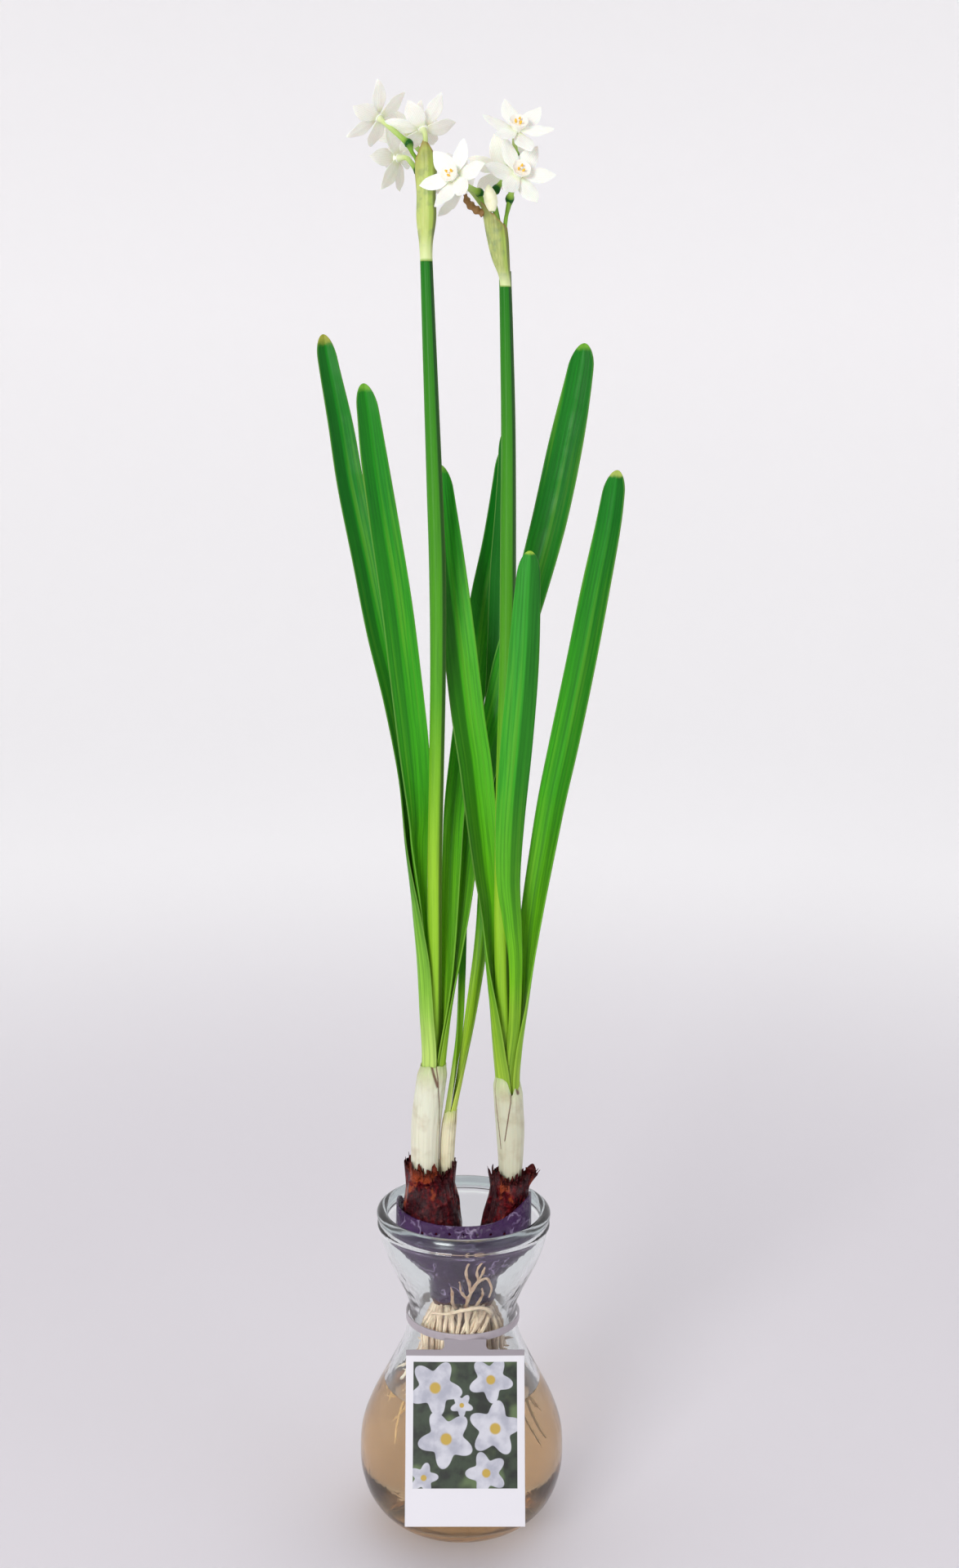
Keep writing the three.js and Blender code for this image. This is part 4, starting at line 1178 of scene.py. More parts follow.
@dataclass
class NeckTag:
    """One die-cut sheet: a loop round the vase's waist, a bridge and a card that leans out over the belly."""

    inside: float = 25.5
    wall: float = 0.8
    bottom: float = 98
    height: float = 3.6
    band_rounding: float = 0.3
    lean: float = math.radians(23.3)
    thick: float = 0.8
    width: float = 53.3
    length: float = 75.5
    side: float = 1.4
    turn: float = math.radians(0.6)
    bridge: tuple[float, float, float] = (19, 3.6, 1.7)  # width, length and radius of the fillets
    edge: float = 0.15

    def outline(self) -> np.ndarray:
        """Corner points of the flat sheet below the loop, with the two fillets as quarter circles.

        Returns:
            Places across and up.
        """
        half, top, r = self.bridge[0] / 2, -self.bridge[1], self.bridge[2]
        edge, low = self.width / 2, top - self.length
        arc = np.linspace(0, math.pi / 2, 9)
        left = np.stack([-half - r + r * np.cos(arc), top + r - r * np.sin(arc)], 1)
        right = (left * np.array([-1, 1]))[::-1]
        corners = [(-edge, top), (-edge, low), (edge, low), (edge, top)]
        return np.concatenate([[(-half, 1.0)], left, corners, right, [(half, 1.0)]])

    def placed(self, flat: np.ndarray) -> np.ndarray:
        """Turns points of the flat sheet a little, leans it out and hangs it at the front of the loop.

        Args:
            flat: Places across, up and out of the sheet.

        Returns:
            The points in their final place.
        """
        c, s = math.cos(self.turn), math.sin(self.turn)
        x, y, z = flat[:, 0] * c - flat[:, 1] * s, flat[:, 0] * s + flat[:, 1] * c, flat[:, 2]
        tilt = math.pi / 2 - self.lean
        c, s = math.cos(tilt), math.sin(tilt)
        back = self.inside + self.wall / 2 + 0.2
        return np.stack([x + self.side, y * c - z * s - back, y * s + z * c + self.bottom + 0.4], 1)

    def add_loop(self, shape: Shape) -> None:
        """Adds the flat band round the waist, its edges a little rounded.

        Args:
            shape: The piece that it goes into.
        """
        across, up = squarish(np.linspace(0, 2 * math.pi, 17)[:-1], self.band_rounding)
        radius = self.inside + self.wall / 2 * (1 + across)
        level = self.bottom + self.height / 2 * (1 + up)
        shape.loft(rounds(level, radius, 128), finish=1, closed=True)

    def add_card(self, shape: Shape) -> None:
        """Adds the bridge and the card: four layers of the outline, each face closed with one polygon.

        Args:
            shape: The piece that it goes into.
        """
        flat = self.outline()
        heading = unit(np.roll(flat, -1, 0) - np.roll(flat, 1, 0))
        inward = np.stack([-heading[:, 1], heading[:, 0]], 1) * self.edge
        half, bevel = self.thick / 2, self.edge
        layers = [
            (flat + inward, -half, 0), (flat, bevel - half, 0), (flat, half - bevel, 1),
            (flat + inward, half, 1),
        ]
        filled, down = np.ones(len(flat)), -flat[:, 1] - self.bridge[1]
        rings = [self.placed(np.column_stack([sheet, filled * z])) for sheet, z, _ in layers]
        marks = [np.column_stack([flat[:, 0], down, filled * front]) for _, _, front in layers]
        index = np.arange(len(layers) * len(flat)).reshape(len(layers), -1)
        turned = np.roll(index, -1, 1)
        quads = np.stack([index[:-1], turned[:-1], turned[1:], index[1:]], -1)
        faces = quads.reshape(-1, 4).tolist() + [index[0][::-1].tolist(), index[-1].tolist()]
        shape.keep(np.concatenate(rings), faces, np.concatenate(marks), 0)

    def build(self) -> None:
        """Builds the loop and the card as one piece."""
        shape = Shape()
        self.add_loop(shape)
        self.add_card(shape)
        piece = shape.make("neck_tag_card", [CardFinish().make(), BandFinish().make()], crease=30)
        settle(piece, "printed_card", "neck_tag")


@dataclass
class Bulb:
    """One bulb: a fleshy body under dry overlapping skins, with torn collars round its neck."""

    node: str
    rows: Rows  # height, x, radius
    collar: tuple[float, float, float, float, float]  # height, x, y, half width, half depth
    low: float
    high: float
    spikes: Rows  # turn in degrees, extra height, extra flare
    seed: int
    layers: int = 3
    sides: int = 120
    torn_sides: int = 240
    laps: int = 3
    spike_spread: float = 20

    def body(self, shape: Shape) -> None:
        """Body rings whose radius grows by overlapping skins (a sawtooth in the angle) and by creases.

        Args:
            shape: The piece that it goes into.
        """
        z, x, r = through(self.rows, 80).T
        angles = turns(self.sides)[None, :]
        height = z[:, None]
        lap = (angles / (2 * math.pi) * self.laps + 0.08 * np.sin(height / 5 + self.seed)) % 1
        skins = 0.7 * smooth(lap, 0, 0.05) * (1 - lap) - 0.35
        creases = 0.3 * ripple(self.seed, 7, 9, 31)(angles, height * 0.8)
        dents = 0.55 * ripple(self.seed + 1, 5, 2, 7)(angles, height * 1.1)
        reach = r[:, None] + (skins + creases + dents) * smooth(height, 112, 124)
        points = [x[:, None] + reach * np.cos(angles), reach * np.sin(angles), height + 0 * reach]
        shape.loft(np.stack(points, -1))

    def torn(self, shape: Shape, layer: int) -> None:
        """Adds one torn skin: a thin wall whose ragged top edge flares out and has tall spikes.

        Args:
            shape: The piece that it goes into.
            layer: 0 for the outermost skin, then inwards.
        """
        z, x, y, wide, deep = self.collar
        angles = turns(self.torn_sides)
        swing = ripple(self.seed + 10 * layer, 5, 2, 9)(angles, 0)
        tears = np.abs(ripple(self.seed + 7 * layer, 4, 5, 11)(angles, 0))
        rise = self.low + (self.high - self.low) * (0.5 + 0.7 * swing) - 2.4 * bell(tears, 0.1)
        flare = 0.1 + 0.9 * ripple(self.seed + 3 * layer + 1, 4, 3, 9)(angles, 0)
        for turn, height, out in self.spikes:
            share = np.maximum(0, 1 - apart(np.degrees(angles), turn) / self.spike_spread)
            rise += height * share * (1 - 0.3 * layer)
            flare += out * share
        rise = rise * (1 + 0.06 * layer) + 0.7 * ripple(self.seed + layer, 6, 16, 55)(angles, 0)
        start = -6.0 - 3 * layer
        levels = np.linspace(0, 1, 14)[:, None]
        curl = 0.8 * ripple(self.seed + 5 + layer, 6, 7, 24)(angles, levels * 9) * levels
        grow = 0.3 - 1.0 * layer + flare * levels ** 2 + curl
        height = z + start + (rise - start) * levels
        thick = 0.35 - 0.2 * levels
        base = np.stack([wide * np.cos(angles), deep * np.sin(angles)], -1)
        walls = []
        for inset in (0 * thick, thick):
            level = base + outward(angles) * (grow - inset)[..., None]
            walls.append(np.concatenate([level + np.array([x, y]), height[..., None]], -1))
        marks = np.zeros_like(walls[0])
        marks[..., 2] = levels ** 3
        shape.loft(up_and_down(*walls), up_and_down(marks, marks), closed=True)

    def build(self, finish: bpy.types.Material) -> None:
        """Builds the body and its torn skins.

        Args:
            finish: Material of the skins.
        """
        shape = Shape()
        self.body(shape)
        for layer in range(self.layers):
            self.torn(shape, layer)
        settle(shape.make(f"dry_{self.node}", [finish]), "bulb_tunic", self.node)


@dataclass
class Roots:
    """The roots of one bulb: strands from its basal plate through the waist and out into the belly."""

    node: str
    side: int
    vase: Vase
    extras: tuple[Rows, ...]  # single strands as x, y, z and radius
    count: int = 72
    steps: int = 34
    plate_x: float = 7.5
    top: float = 108
    waist: float = 18.4
    depths: tuple[float, ...] = (84, 62, 78, 50, 88, 66, 76, 42)
    wobble: Point = (1.1, 1.1, 0.4)
    hook: float = 55

    def strand(self, random: np.random.Generator, k: int) -> np.ndarray:
        """Path of one root: down from the plate, out to the waist, then outwards and down into the belly.

        Args:
            random: Source of the differences.
            k: Number of the strand.

        Returns:
            Points from top to tip.
        """
        around = ((k + 0.5) / self.count - 0.5) * math.radians(178) + random.normal(0, 0.08)
        angle = around if self.side > 0 else math.pi - around
        reach = random.uniform(0.45, 1) if k % 3 else random.uniform(0.05, 0.45)
        depth = self.depths[k % len(self.depths)] + 6 * random.random()
        spread = 0.4 + 0.6 * reach
        waist = self.waist * spread
        belly = waist + (float(self.vase.inner_radius(np.array(max(depth, 30)))) - 4.5 - waist) * reach
        out = np.array([waist, waist + 1.2, waist * 0.35 + belly * 0.65, belly])
        foot = self.plate_x * self.side * spread + 5 * math.cos(angle)
        x = np.array([foot, *(np.maximum(out * math.cos(angle) * self.side, 0.6) * self.side)])
        y = np.array([9 * math.sin(angle) * random.uniform(0.5, 1), *(out * math.sin(angle))])
        z = np.array([self.top - 0.4, 97, 84, (84 + 2 * depth) / 3, depth])
        path = through(np.stack([x, y, z], 1), self.steps)
        t = np.linspace(0, 1, self.steps)[:, None]
        swing = np.sin(t * random.uniform(7, 13, 3) + random.uniform(0, 6, 3)) * t * np.array(self.wobble)
        bend = np.maximum(0, t - 0.7) ** 2 * random.uniform(-self.hook, self.hook, 3) * np.array([1, 1, 0.5])
        return path + swing + bend

    def build(self, finish: bpy.types.Material, basal: bpy.types.Material) -> None:
        """Builds the brown basal plate and all strands.

        Args:
            finish: Material of the strands.
            basal: Material of the plate.
        """
        random = np.random.default_rng(20 + self.side)
        shape = Shape()
        heights, radii = self.top + np.array([-1, -0.6, 2.4, 2.8]), np.array([6.6, 7.3, 7.3, 6.6])
        shape.loft(rounds(heights, radii, 32, (self.plate_x * self.side, 0)), finish=1)
        for k in range(self.count):
            path = self.strand(random, k)
            t = np.linspace(0, 1, self.steps)
            radii = random.uniform(0.65, 1.05) * (1 - 0.4 * t) * np.minimum(1, np.sqrt((1.001 - t) * 9))
            shape.loft(tube(path, radii, 7), np.array([0, 0, random.uniform(0, 0.25)]))
        for rows in self.extras:
            path = through(rows, 30)
            radii = path[:, 3] * (1 + 0.12 * np.sin(np.linspace(0, 21, 30)))
            shape.loft(tube(path[:, :3], radii, 7), np.array([0, 0, 0.1 if rows[0][3] > 0.8 else 0.55]))
        name = self.node.replace("roots", "root_mass")
        settle(shape.make(name, [finish, basal]), "root", self.node)


# ------------------------ leaves and stems


@dataclass
class Sheath:
    """Pale tube that leaves and a stem come out of, its top edge slightly uneven."""

    node: str
    finish: SheathFinish
    rows: Rows  # height, x, y, half width, half depth
    floor: float
    dips: Rows  # turn in degrees, depth in millimetres, half spread in degrees
    lines: Rows  # turn in degrees at the top, at the bottom, length, half width in degrees
    taper: float = 1.0
    wall: float = 0.6
    sides: int = 192

    def edge(self, degrees: np.ndarray) -> np.ndarray:
        """How far the top edge lies below the highest row at each turn.

        Args:
            degrees: Turns.

        Returns:
            Millimetres for each turn.
        """
        drop = 0.35 + 0.3 * ripple(len(self.rows), 5, 2, 9)(np.radians(degrees), 0)
        for turn, depth, spread in self.dips:
            drop = drop + depth * (1 - smooth(apart(degrees, turn), 0, spread))
        return np.maximum(drop, 0)

    def face(self, inset: float, start: float, count: int) -> tuple[np.ndarray, np.ndarray]:
        """Rings of the outer or inner face and the marks on them.

        Args:
            inset: 0 for the outer face, the wall for the inner one.
            start: Height of the lowest ring.
            count: Number of rings.

        Returns:
            Points and marks as rings x sides x 3.
        """
        top = self.rows[-1][0]
        degrees = np.degrees(turns(self.sides))
        share = np.linspace(0, 1, count)[:, None]
        height = start + (top - self.edge(degrees) - start) * share
        table = through(self.rows, 60)
        x, y, wide, deep = (np.interp(height, table[:, 0], table[:, k]) for k in range(1, 5))
        angles = np.radians(degrees)
        below = top - height
        brown = np.zeros_like(height)
        for upper, lower, length, half in self.lines:
            middle = upper + (lower - upper) * np.clip(below / length, 0, 1)
            line = 1 - smooth(apart(degrees, middle), half * 0.4, half)
            brown = np.maximum(brown, line * (below < length))
        rib = 0.06 * np.cos(17 * angles)
        narrowing = self.taper if inset == 0 else self.taper - 0.45
        hug = 0.25 * brown + narrowing * (1 - smooth(height[-1] - height, 0, 6))
        points = np.stack([
            x + (wide - inset + rib - hug) * np.cos(angles),
            y + (deep - inset + rib - hug) * np.sin(angles),
            height,
        ], -1)
        marks = np.stack([degrees + 0 * height, below, brown], -1)
        return points, marks

    def build(self) -> None:
        """Builds the tube with a closed floor under the leaf bases."""
        outer, outer_marks = self.face(0, self.rows[0][0], 90)
        inner, inner_marks = self.face(self.wall, self.floor, 40)
        shape = Shape()
        shape.loft(up_and_down(outer, inner), up_and_down(outer_marks, inner_marks))
        settle(shape.make(f"pale_{self.node}", [self.finish.make()]), "sheath", self.node)


@dataclass
class Leaf:
    """One strap leaf: an arched strip from its sheath to a rounded tip.

    A row holds height, keel x, keel y, width along the arch, the way the hollow side faces (degrees from +X
    towards +Y) and the curl to each side of the keel (degrees).
    """

    node: str
    finish: LeafFinish
    rows: Rows
    base_thick: float = 0.8
    thick: float = 1.3
    thickens: Span = (225, 290)
    keel_from: Span = (250, 300)
    tip: float = 10
    across: int = 17

    def section(self, side: int, at: np.ndarray) -> tuple[np.ndarray, np.ndarray]:
        """One face: keel + R (sideways sin(a u) + hollow (1 - cos(a u))), moved by half the wall.

        R = width / (2 a), a is the curl and u runs from -1 to 1 across the blade.

        Args:
            side: 1 for the hollow face, -1 for the outer one.
            at: Fractional row numbers of the stations.

        Returns:
            Points and marks as stations x points across x 3.
        """
        z, x, y, wide, facing, curl = (v[:, None] for v in spline(self.rows, at).T)
        below = self.rows[-1][0] - z
        share = np.minimum(1, below / self.tip)
        width = np.maximum(0.5, wide * np.sqrt(np.maximum(0, 1 - (1 - share) ** 2)))
        u = np.sin(np.linspace(-math.pi / 2, math.pi / 2, self.across))[None, :]
        curl = np.radians(curl)
        bend = width / 2 / curl
        wall = self.base_thick + (self.thick - self.base_thick) * smooth(z, *self.thickens)
        rounding = np.sqrt(np.maximum(0, 1 - np.maximum(0, (np.abs(u) - 0.93) / 0.07) ** 2))
        half = wall / 2 * (1 - 0.4 * u * u) * rounding * np.minimum(1, 0.4 + below / 6)
        keel = smooth(z, *self.keel_from) * (0.2 * bell(u, 0.13) - 0.1 * bell(np.abs(u) - 0.5, 0.2))
        offset = side * half - keel * (1 if side > 0 else 0.8)
        angle = curl * u
        depth = bend - (bend - offset) * np.cos(angle)
        sideways = (bend - offset) * np.sin(angle)
        facing = np.radians(facing)
        c, s = np.cos(facing), np.sin(facing)
        points = np.stack([x - sideways * s + depth * c, y + sideways * c + depth * s, z + 0 * depth], -1)
        marks = np.stack([u + 0 * z, below + 0 * u, u * width / 2], -1)
        return points, marks

    def build(self) -> None:
        """Builds the closed blade from its two faces."""
        last = len(self.rows) - 1
        tip = last - 1 + np.sin(np.linspace(0, math.pi / 2, 26))
        at = np.concatenate([np.linspace(0, last - 1, 9 * (last - 1) + 1)[:-1], tip])
        front, front_marks = self.section(1, at)
        back, back_marks = self.section(-1, at)
        shape = Shape()
        shape.loft(there_and_back(front, back), there_and_back(front_marks, back_marks))
        piece = shape.make(self.node.replace("leaf", "strap"), [self.finish.make()])
        settle(piece, "leaf", self.node)


@dataclass
class Bloom:
    """One open floret: where it sits, the way it faces, its turn and the course of its stalk."""

    node: str
    at: Point
    faces: Point
    turn: float
    ovary: Point
    via: Point
    seed: int

    def facing(self) -> np.ndarray:
        """Unit vector along which the flower faces."""
        return unit(np.array(self.faces, float))

    def placed(self, points: np.ndarray) -> np.ndarray:
        """Turns points made round the upright axis so that it faces the bloom's way, and moves them there.

        Args:
            points: Points of a flower that faces up.

        Returns:
            The points in their final place.
        """
        spin = Quaternion((0, 0, 1), math.radians(self.turn))
        swing = Quaternion(tuple(np.cross([0, 0, 1], self.facing())), math.acos(self.facing()[2]))
        matrix = np.array((swing @ spin).to_matrix())
        return (points.reshape(-1, 3) @ matrix.T + np.array(self.at)).reshape(points.shape)


@dataclass
class Florets:
    """Petals, cup and anthers of the open florets."""

    blooms: tuple[Bloom, ...]
    radius: float = 15.8
    outer: tuple[float, float] = (4.1, -1.9)  # half width and height of the foot
    inner: tuple[float, float] = (3.7, -0.7)
    swell: Rows = (  # share of the length, share of the half width
        (0, 0.36), (0.12, 0.58), (0.28, 0.86), (0.44, 1.0), (0.6, 0.95), (0.74, 0.76), (0.86, 0.48),
        (0.94, 0.24), (1, 0.03),
    )
    thick: float = 0.45
    cup: Rows = (  # height, radius
        (-2.4, 0.9), (-2.4, 1.9), (-1.2, 2.1), (0.1, 2.4), (0.7, 2.75), (1.3, 3.15), (2.2, 3.6), (2.9, 3.9),
        (3.15, 4.0), (3.2, 3.85), (3.0, 3.6), (2.5, 3.2), (2.1, 2.6), (1.9, 1.8), (1.8, 0.8),
    )

    def petal(self, k: int, random: np.random.Generator) -> tuple[np.ndarray, np.ndarray]:
        """One petal: foot + 0.012 along^2 - 0.02 across^2, with a furrow, a wave and a drawn-out point.

        Args:
            k: Number of the petal; odd ones are the inner three.
            random: Source of the small differences between petals.

        Returns:
            Rings across the petal and their marks.
        """
        width, foot = self.inner if k % 2 else self.outer
        reach = self.radius * random.uniform(0.94, 0.99)
        tip = 0.8 + 0.2 * np.sin(np.linspace(0.08, math.pi / 2, 14))
        t = np.concatenate([np.linspace(0, 0.8, 20), tip])[:, None]
        along = 1.4 + (reach - 1.4) * t
        swell = np.interp(t[:, 0], *np.transpose(self.swell))
        swell[1:-1] = np.convolve(swell, [0.25, 0.5, 0.25], "valid")
        u = np.sin(np.linspace(-math.pi / 2, math.pi / 2, 13))[None, :]
        across = u * width * swell[:, None]
        lean, twist = random.uniform(-0.03, 0.05), random.uniform(-0.14, 0.14)
        wave = 0.3 * np.sin(along * 0.9 + random.uniform(0, 6)) * np.sign(u) * np.abs(u) ** 2 * t
        furrow = -0.28 * bell(u, 0.16) * np.sin(math.pi * np.minimum(t, 0.95))
        lift = foot + (0.012 + lean * 0.2) * along ** 2 - 0.02 * across ** 2
        lift = lift + twist * across * t + wave + furrow
        edge = np.sqrt(np.maximum(0.05, 1 - u * u)) * np.minimum(1, 0.3 + (1 - t) * 6)
        half = self.thick / 2 * edge
        front, back = (np.stack([along + 0 * across, across, lift + h], -1) for h in (half, -half))
        mark = np.stack([u + 0 * t, along + 0 * u, across], -1)
        c, s = math.cos(math.radians(60 * k)), math.sin(math.radians(60 * k))
        turned = there_and_back(front, back) @ np.array([[c, s, 0], [-s, c, 0], [0, 0, 1]])
        return turned, there_and_back(mark, mark)

    def add_cup(self, bloom: Bloom, shape: Shape) -> None:
        """Adds the turned cup with a softly waved rim, closed under the anthers.

        Args:
            bloom: The floret.
            shape: The piece that it goes into.
        """
        heights, radii = np.transpose(self.cup)
        angles = turns(48)
        rings = rounds(heights, radii, 48)
        top = smooth(heights, 2, 3.8)[:, None]
        waves = ripple(bloom.seed, 4, 3, 9)(angles, 0)
        rings[..., :2] *= 1 + 0.05 * top[..., None] * waves[None, :, None]
        rings[..., 2] += 0.18 * top * np.cos(6 * angles + bloom.seed)
        marks = np.zeros_like(rings)
        marks[..., 1] = 3 + 2 * top
        shape.loft(bloom.placed(rings), marks, finish=1)

    def add_anthers(self, bloom: Bloom, shape: Shape) -> None:
        """Adds three pollen-covered anthers and the stigma between them.

        Args:
            bloom: The floret.
            shape: The piece that it goes into.
        """
        for k in range(3):
            angle = math.radians(120 * k + 20)
            middle = np.array([1.25 * math.cos(angle), 1.25 * math.sin(angle), 2.9])
            lean = np.array([0.25 * math.cos(angle), 0.25 * math.sin(angle), 1.0])
            s = np.linspace(-1, 1, 9)[:, None]
            radii = 0.52 * np.sqrt(np.maximum(0.02, 1 - s[:, 0] ** 2))
            shape.loft(tube(bloom.placed(middle + lean * s * 1.05), radii, 10), finish=2)
        path = bloom.placed(np.array([(0, 0, 0.8), (0, 0, 2.4), (0, 0, 3.3)]))
        shape.loft(tube(path, np.array([0.28, 0.3, 0.42]), 10), finish=1)

    def build(self) -> None:
        """Builds every floret as a piece of its own."""
        petal = PetalFinish().make()
        cup = PlainFinish("cream_cup", (254, 253, 246), (250, 248, 236), 0.45, 0.1).make()
        pollen = PlainFinish("orange_pollen", (255, 208, 74), (250, 184, 48), 0.7, 0.35).make()
        for bloom in self.blooms:
            random = np.random.default_rng(bloom.seed)
            shape = Shape()
            for k in range(6):
                rings, marks = self.petal(k, random)
                shape.loft(bloom.placed(rings), marks)
            self.add_cup(bloom, shape)
            self.add_anthers(bloom, shape)
            piece = shape.make(f"open_{bloom.node}", [petal, cup, pollen])
            settle(piece, "petal", bloom.node)


@dataclass
class FlowerStem:
    """One flower stem with two side ribs, and the stalk, ovary and tube of each of its florets."""

    node: str
    finish: StemFinish
    rows: Rows  # height, x, y, half width
    blooms: tuple[Bloom, ...]
    bud_stalk: Rows = ()  # x, y, z and radius
    depth: float = 0.82
    ridge: float = 0.3
    sides: int = 48
    stalk_radii: Rows = (  # place along the stalk's rows, radius
        (0, 0.95), (1, 0.8), (2, 0.85), (2.5, 1.5), (3, 1.95), (3.5, 1.75), (4, 1.2), (5, 1.0), (5.6, 1.2),
        (6, 1.8),
    )

    def add_stem(self, shape: Shape) -> None:
        """Adds the main stem: an ellipse with a rib on each side and faint ribs between them.

        Args:
            shape: The piece that it goes into.
        """
        z, x, y, r = through(self.rows, 150).T
        angles = turns(self.sides)
        rings = ovals(np.stack([z, x, y, r, r * self.depth], 1), angles)
        rib = bell(np.sin(angles), 0.22)
        rings[..., :2] += (self.ridge * rib + 0.05 * np.cos(10 * angles))[:, None] * outward(angles)
        marks = np.zeros_like(rings)
        marks[..., 0], marks[..., 1], marks[..., 2] = np.cos(angles), -1, rib * 0.6
        shape.loft(rings, marks)

    def add_stalk(self, bloom: Bloom, shape: Shape) -> None:
        """Adds stalk, ovary and tube: a smooth path to the back of the flower, swollen half way.

        Args:
            bloom: The floret.
            shape: The piece that it goes into.
        """
        away = bloom.facing()
        end = np.array(bloom.at) - 2.3 * away
        tube_foot = end - 4.2 * away
        ovary = np.array(bloom.ovary, float)
        along = unit(tube_foot - ovary)
        top = np.array([self.rows[-1][1], self.rows[-1][2], self.rows[-1][0] - 4])
        below = ovary - 1.5 * along - np.array([0, 0, 2])
        rows = [top, bloom.via, below, ovary, ovary + 3 * along, tube_foot, end]
        at = np.linspace(0, 6, 61)
        radii = np.interp(at, *np.transpose(self.stalk_radii))
        radii[1:-1] = np.convolve(radii, [0.25, 0.5, 0.25], "valid")
        rings = tube(spline(rows, at), radii, 20)
        marks = np.zeros_like(rings)
        marks[..., 1] = (at / 6)[:, None]
        shape.loft(rings, marks)

    def add_bud_stalk(self, shape: Shape) -> None:
        """Adds the stalk of the closed bud.

        Args:
            shape: The piece that it goes into.
        """
        rows = np.array(self.bud_stalk)
        at = np.linspace(0, len(rows) - 1, 24)
        rings = tube(spline(rows[:, :3], at), np.interp(at, range(len(rows)), rows[:, 3]), 16)
        marks = np.zeros_like(rings)
        marks[..., 1] = 0.2
        shape.loft(rings, marks)

    def build(self) -> None:
        """Builds the stem and its stalks as one piece."""
        shape = Shape()
        self.add_stem(shape)
        for bloom in self.blooms:
            self.add_stalk(bloom, shape)
        if self.bud_stalk:
            self.add_bud_stalk(shape)
        settle(shape.make(f"ribbed_{self.node}", [self.finish.make()]), "stem", self.node)


@dataclass
class Spathe:
    """Papery bract that the florets come out of: a tube cut obliquely, highest on one side."""

    node: str
    finish: SpatheFinish
    rows: Rows  # height, x, y, radius
    low: float
    peak: float
    sharp: float
    seed: int
    tip: Rows = ()  # x, y, z and radius along a withered, curled tip
    wall: float = 0.5
    sides: int = 84

    def face(self, inset: float) -> tuple[np.ndarray, np.ndarray]:
        """Rings up to an edge at low + (1 - low) cos((a - peak) / 2) ^ (2 sharp) of the height.

        Args:
            inset: Distance inside the outer face.

        Returns:
            Points and marks as rings x sides x 3.
        """
        table = through(self.rows, 60)
        foot, top = self.rows[0][0], self.rows[-1][0]
        angles = turns(self.sides)
        edge = np.abs(np.cos((angles - math.radians(self.peak)) / 2)) ** (2 * self.sharp)
        edge = self.low + (1 - self.low) * edge + 0.012 * ripple(self.seed, 6, 5, 19)(angles, 0)
        share = np.linspace(0, 1, 48)[:, None]
        height = foot + (top - foot) * share * np.minimum(edge, 1)
        x, y, r = (np.interp(height, table[:, 0], table[:, k]) for k in (1, 2, 3))
        crumple = 0.16 * ripple(self.seed + 3, 6, 7, 22)(angles, height * 0.5) * smooth(share, 0.05, 0.5)
        reach = r - inset + crumple
        points = np.stack([x + reach * np.cos(angles), y + reach * np.sin(angles), height], -1)
        dry = smooth(share * np.ones_like(angles), 0.93, 1) * 0.7
        marks = np.stack([np.cos(angles) + 0 * height, share + 0 * angles, dry], -1)
        return points, marks

    def build(self) -> None:
        """Builds the tube and its withered tip."""
        shape = Shape()
        (outer, outer_marks), (inner, inner_marks) = self.face(0), self.face(self.wall)
        shape.loft(up_and_down(outer, inner), up_and_down(outer_marks, inner_marks), closed=True)
        if self.tip:
            at = np.linspace(0, len(self.tip) - 1, 40)
            path = spline(self.tip, at)
            rings = tube(path[:, :3], path[:, 3] * (1 + 0.2 * np.sin(at * 9)), 18)
            marks = np.zeros_like(rings)
            marks[..., 1:] = (0.5, 1)
            shape.loft(rings, marks)
        settle(shape.make(f"papery_{self.node}", [self.finish.make()]), "spathe", self.node)


@dataclass
class Bud:
    """Closed bud whose petals are folded round each other."""

    bottom: Point = (7.9, -7.4, 592.4)
    top: Point = (6.3, -8.2, 603)
    radius: float = 2.7
    profile: Rows = ((0, 0.45), (0.12, 0.7), (0.35, 1), (0.65, 0.92), (0.88, 0.5), (1, 0.12))
    folds: int = 3
    winding: float = 0.35

    def build(self) -> None:
        """Builds the bud: a pointed egg with shallow folds that wind a little."""
        share, swell = through(self.profile, 50).T
        low, high = np.array(self.bottom), np.array(self.top)
        z, x, y = (low[k] + (high[k] - low[k]) * share for k in (2, 0, 1))
        angles = turns(48)
        rings = rounds(z, self.radius * swell, 48, (x, y))
        fold = (angles[None, :] / (2 * math.pi) * self.folds + share[:, None] * self.winding) % 1
        push = (0.3 * smooth(fold, 0, 0.12) * (1 - fold) - 0.1) * swell[:, None]
        rings[..., :2] += push[..., None] * outward(angles)
        shape = Shape()
        shape.loft(rings)
        finish = PlainFinish("cream_bud", (254, 254, 222), (244, 246, 196), 0.45, 0.12).make()
        settle(shape.make("closed_bud", [finish]), "bud", "flower_bud")


# ------------------------ sizes of this plant

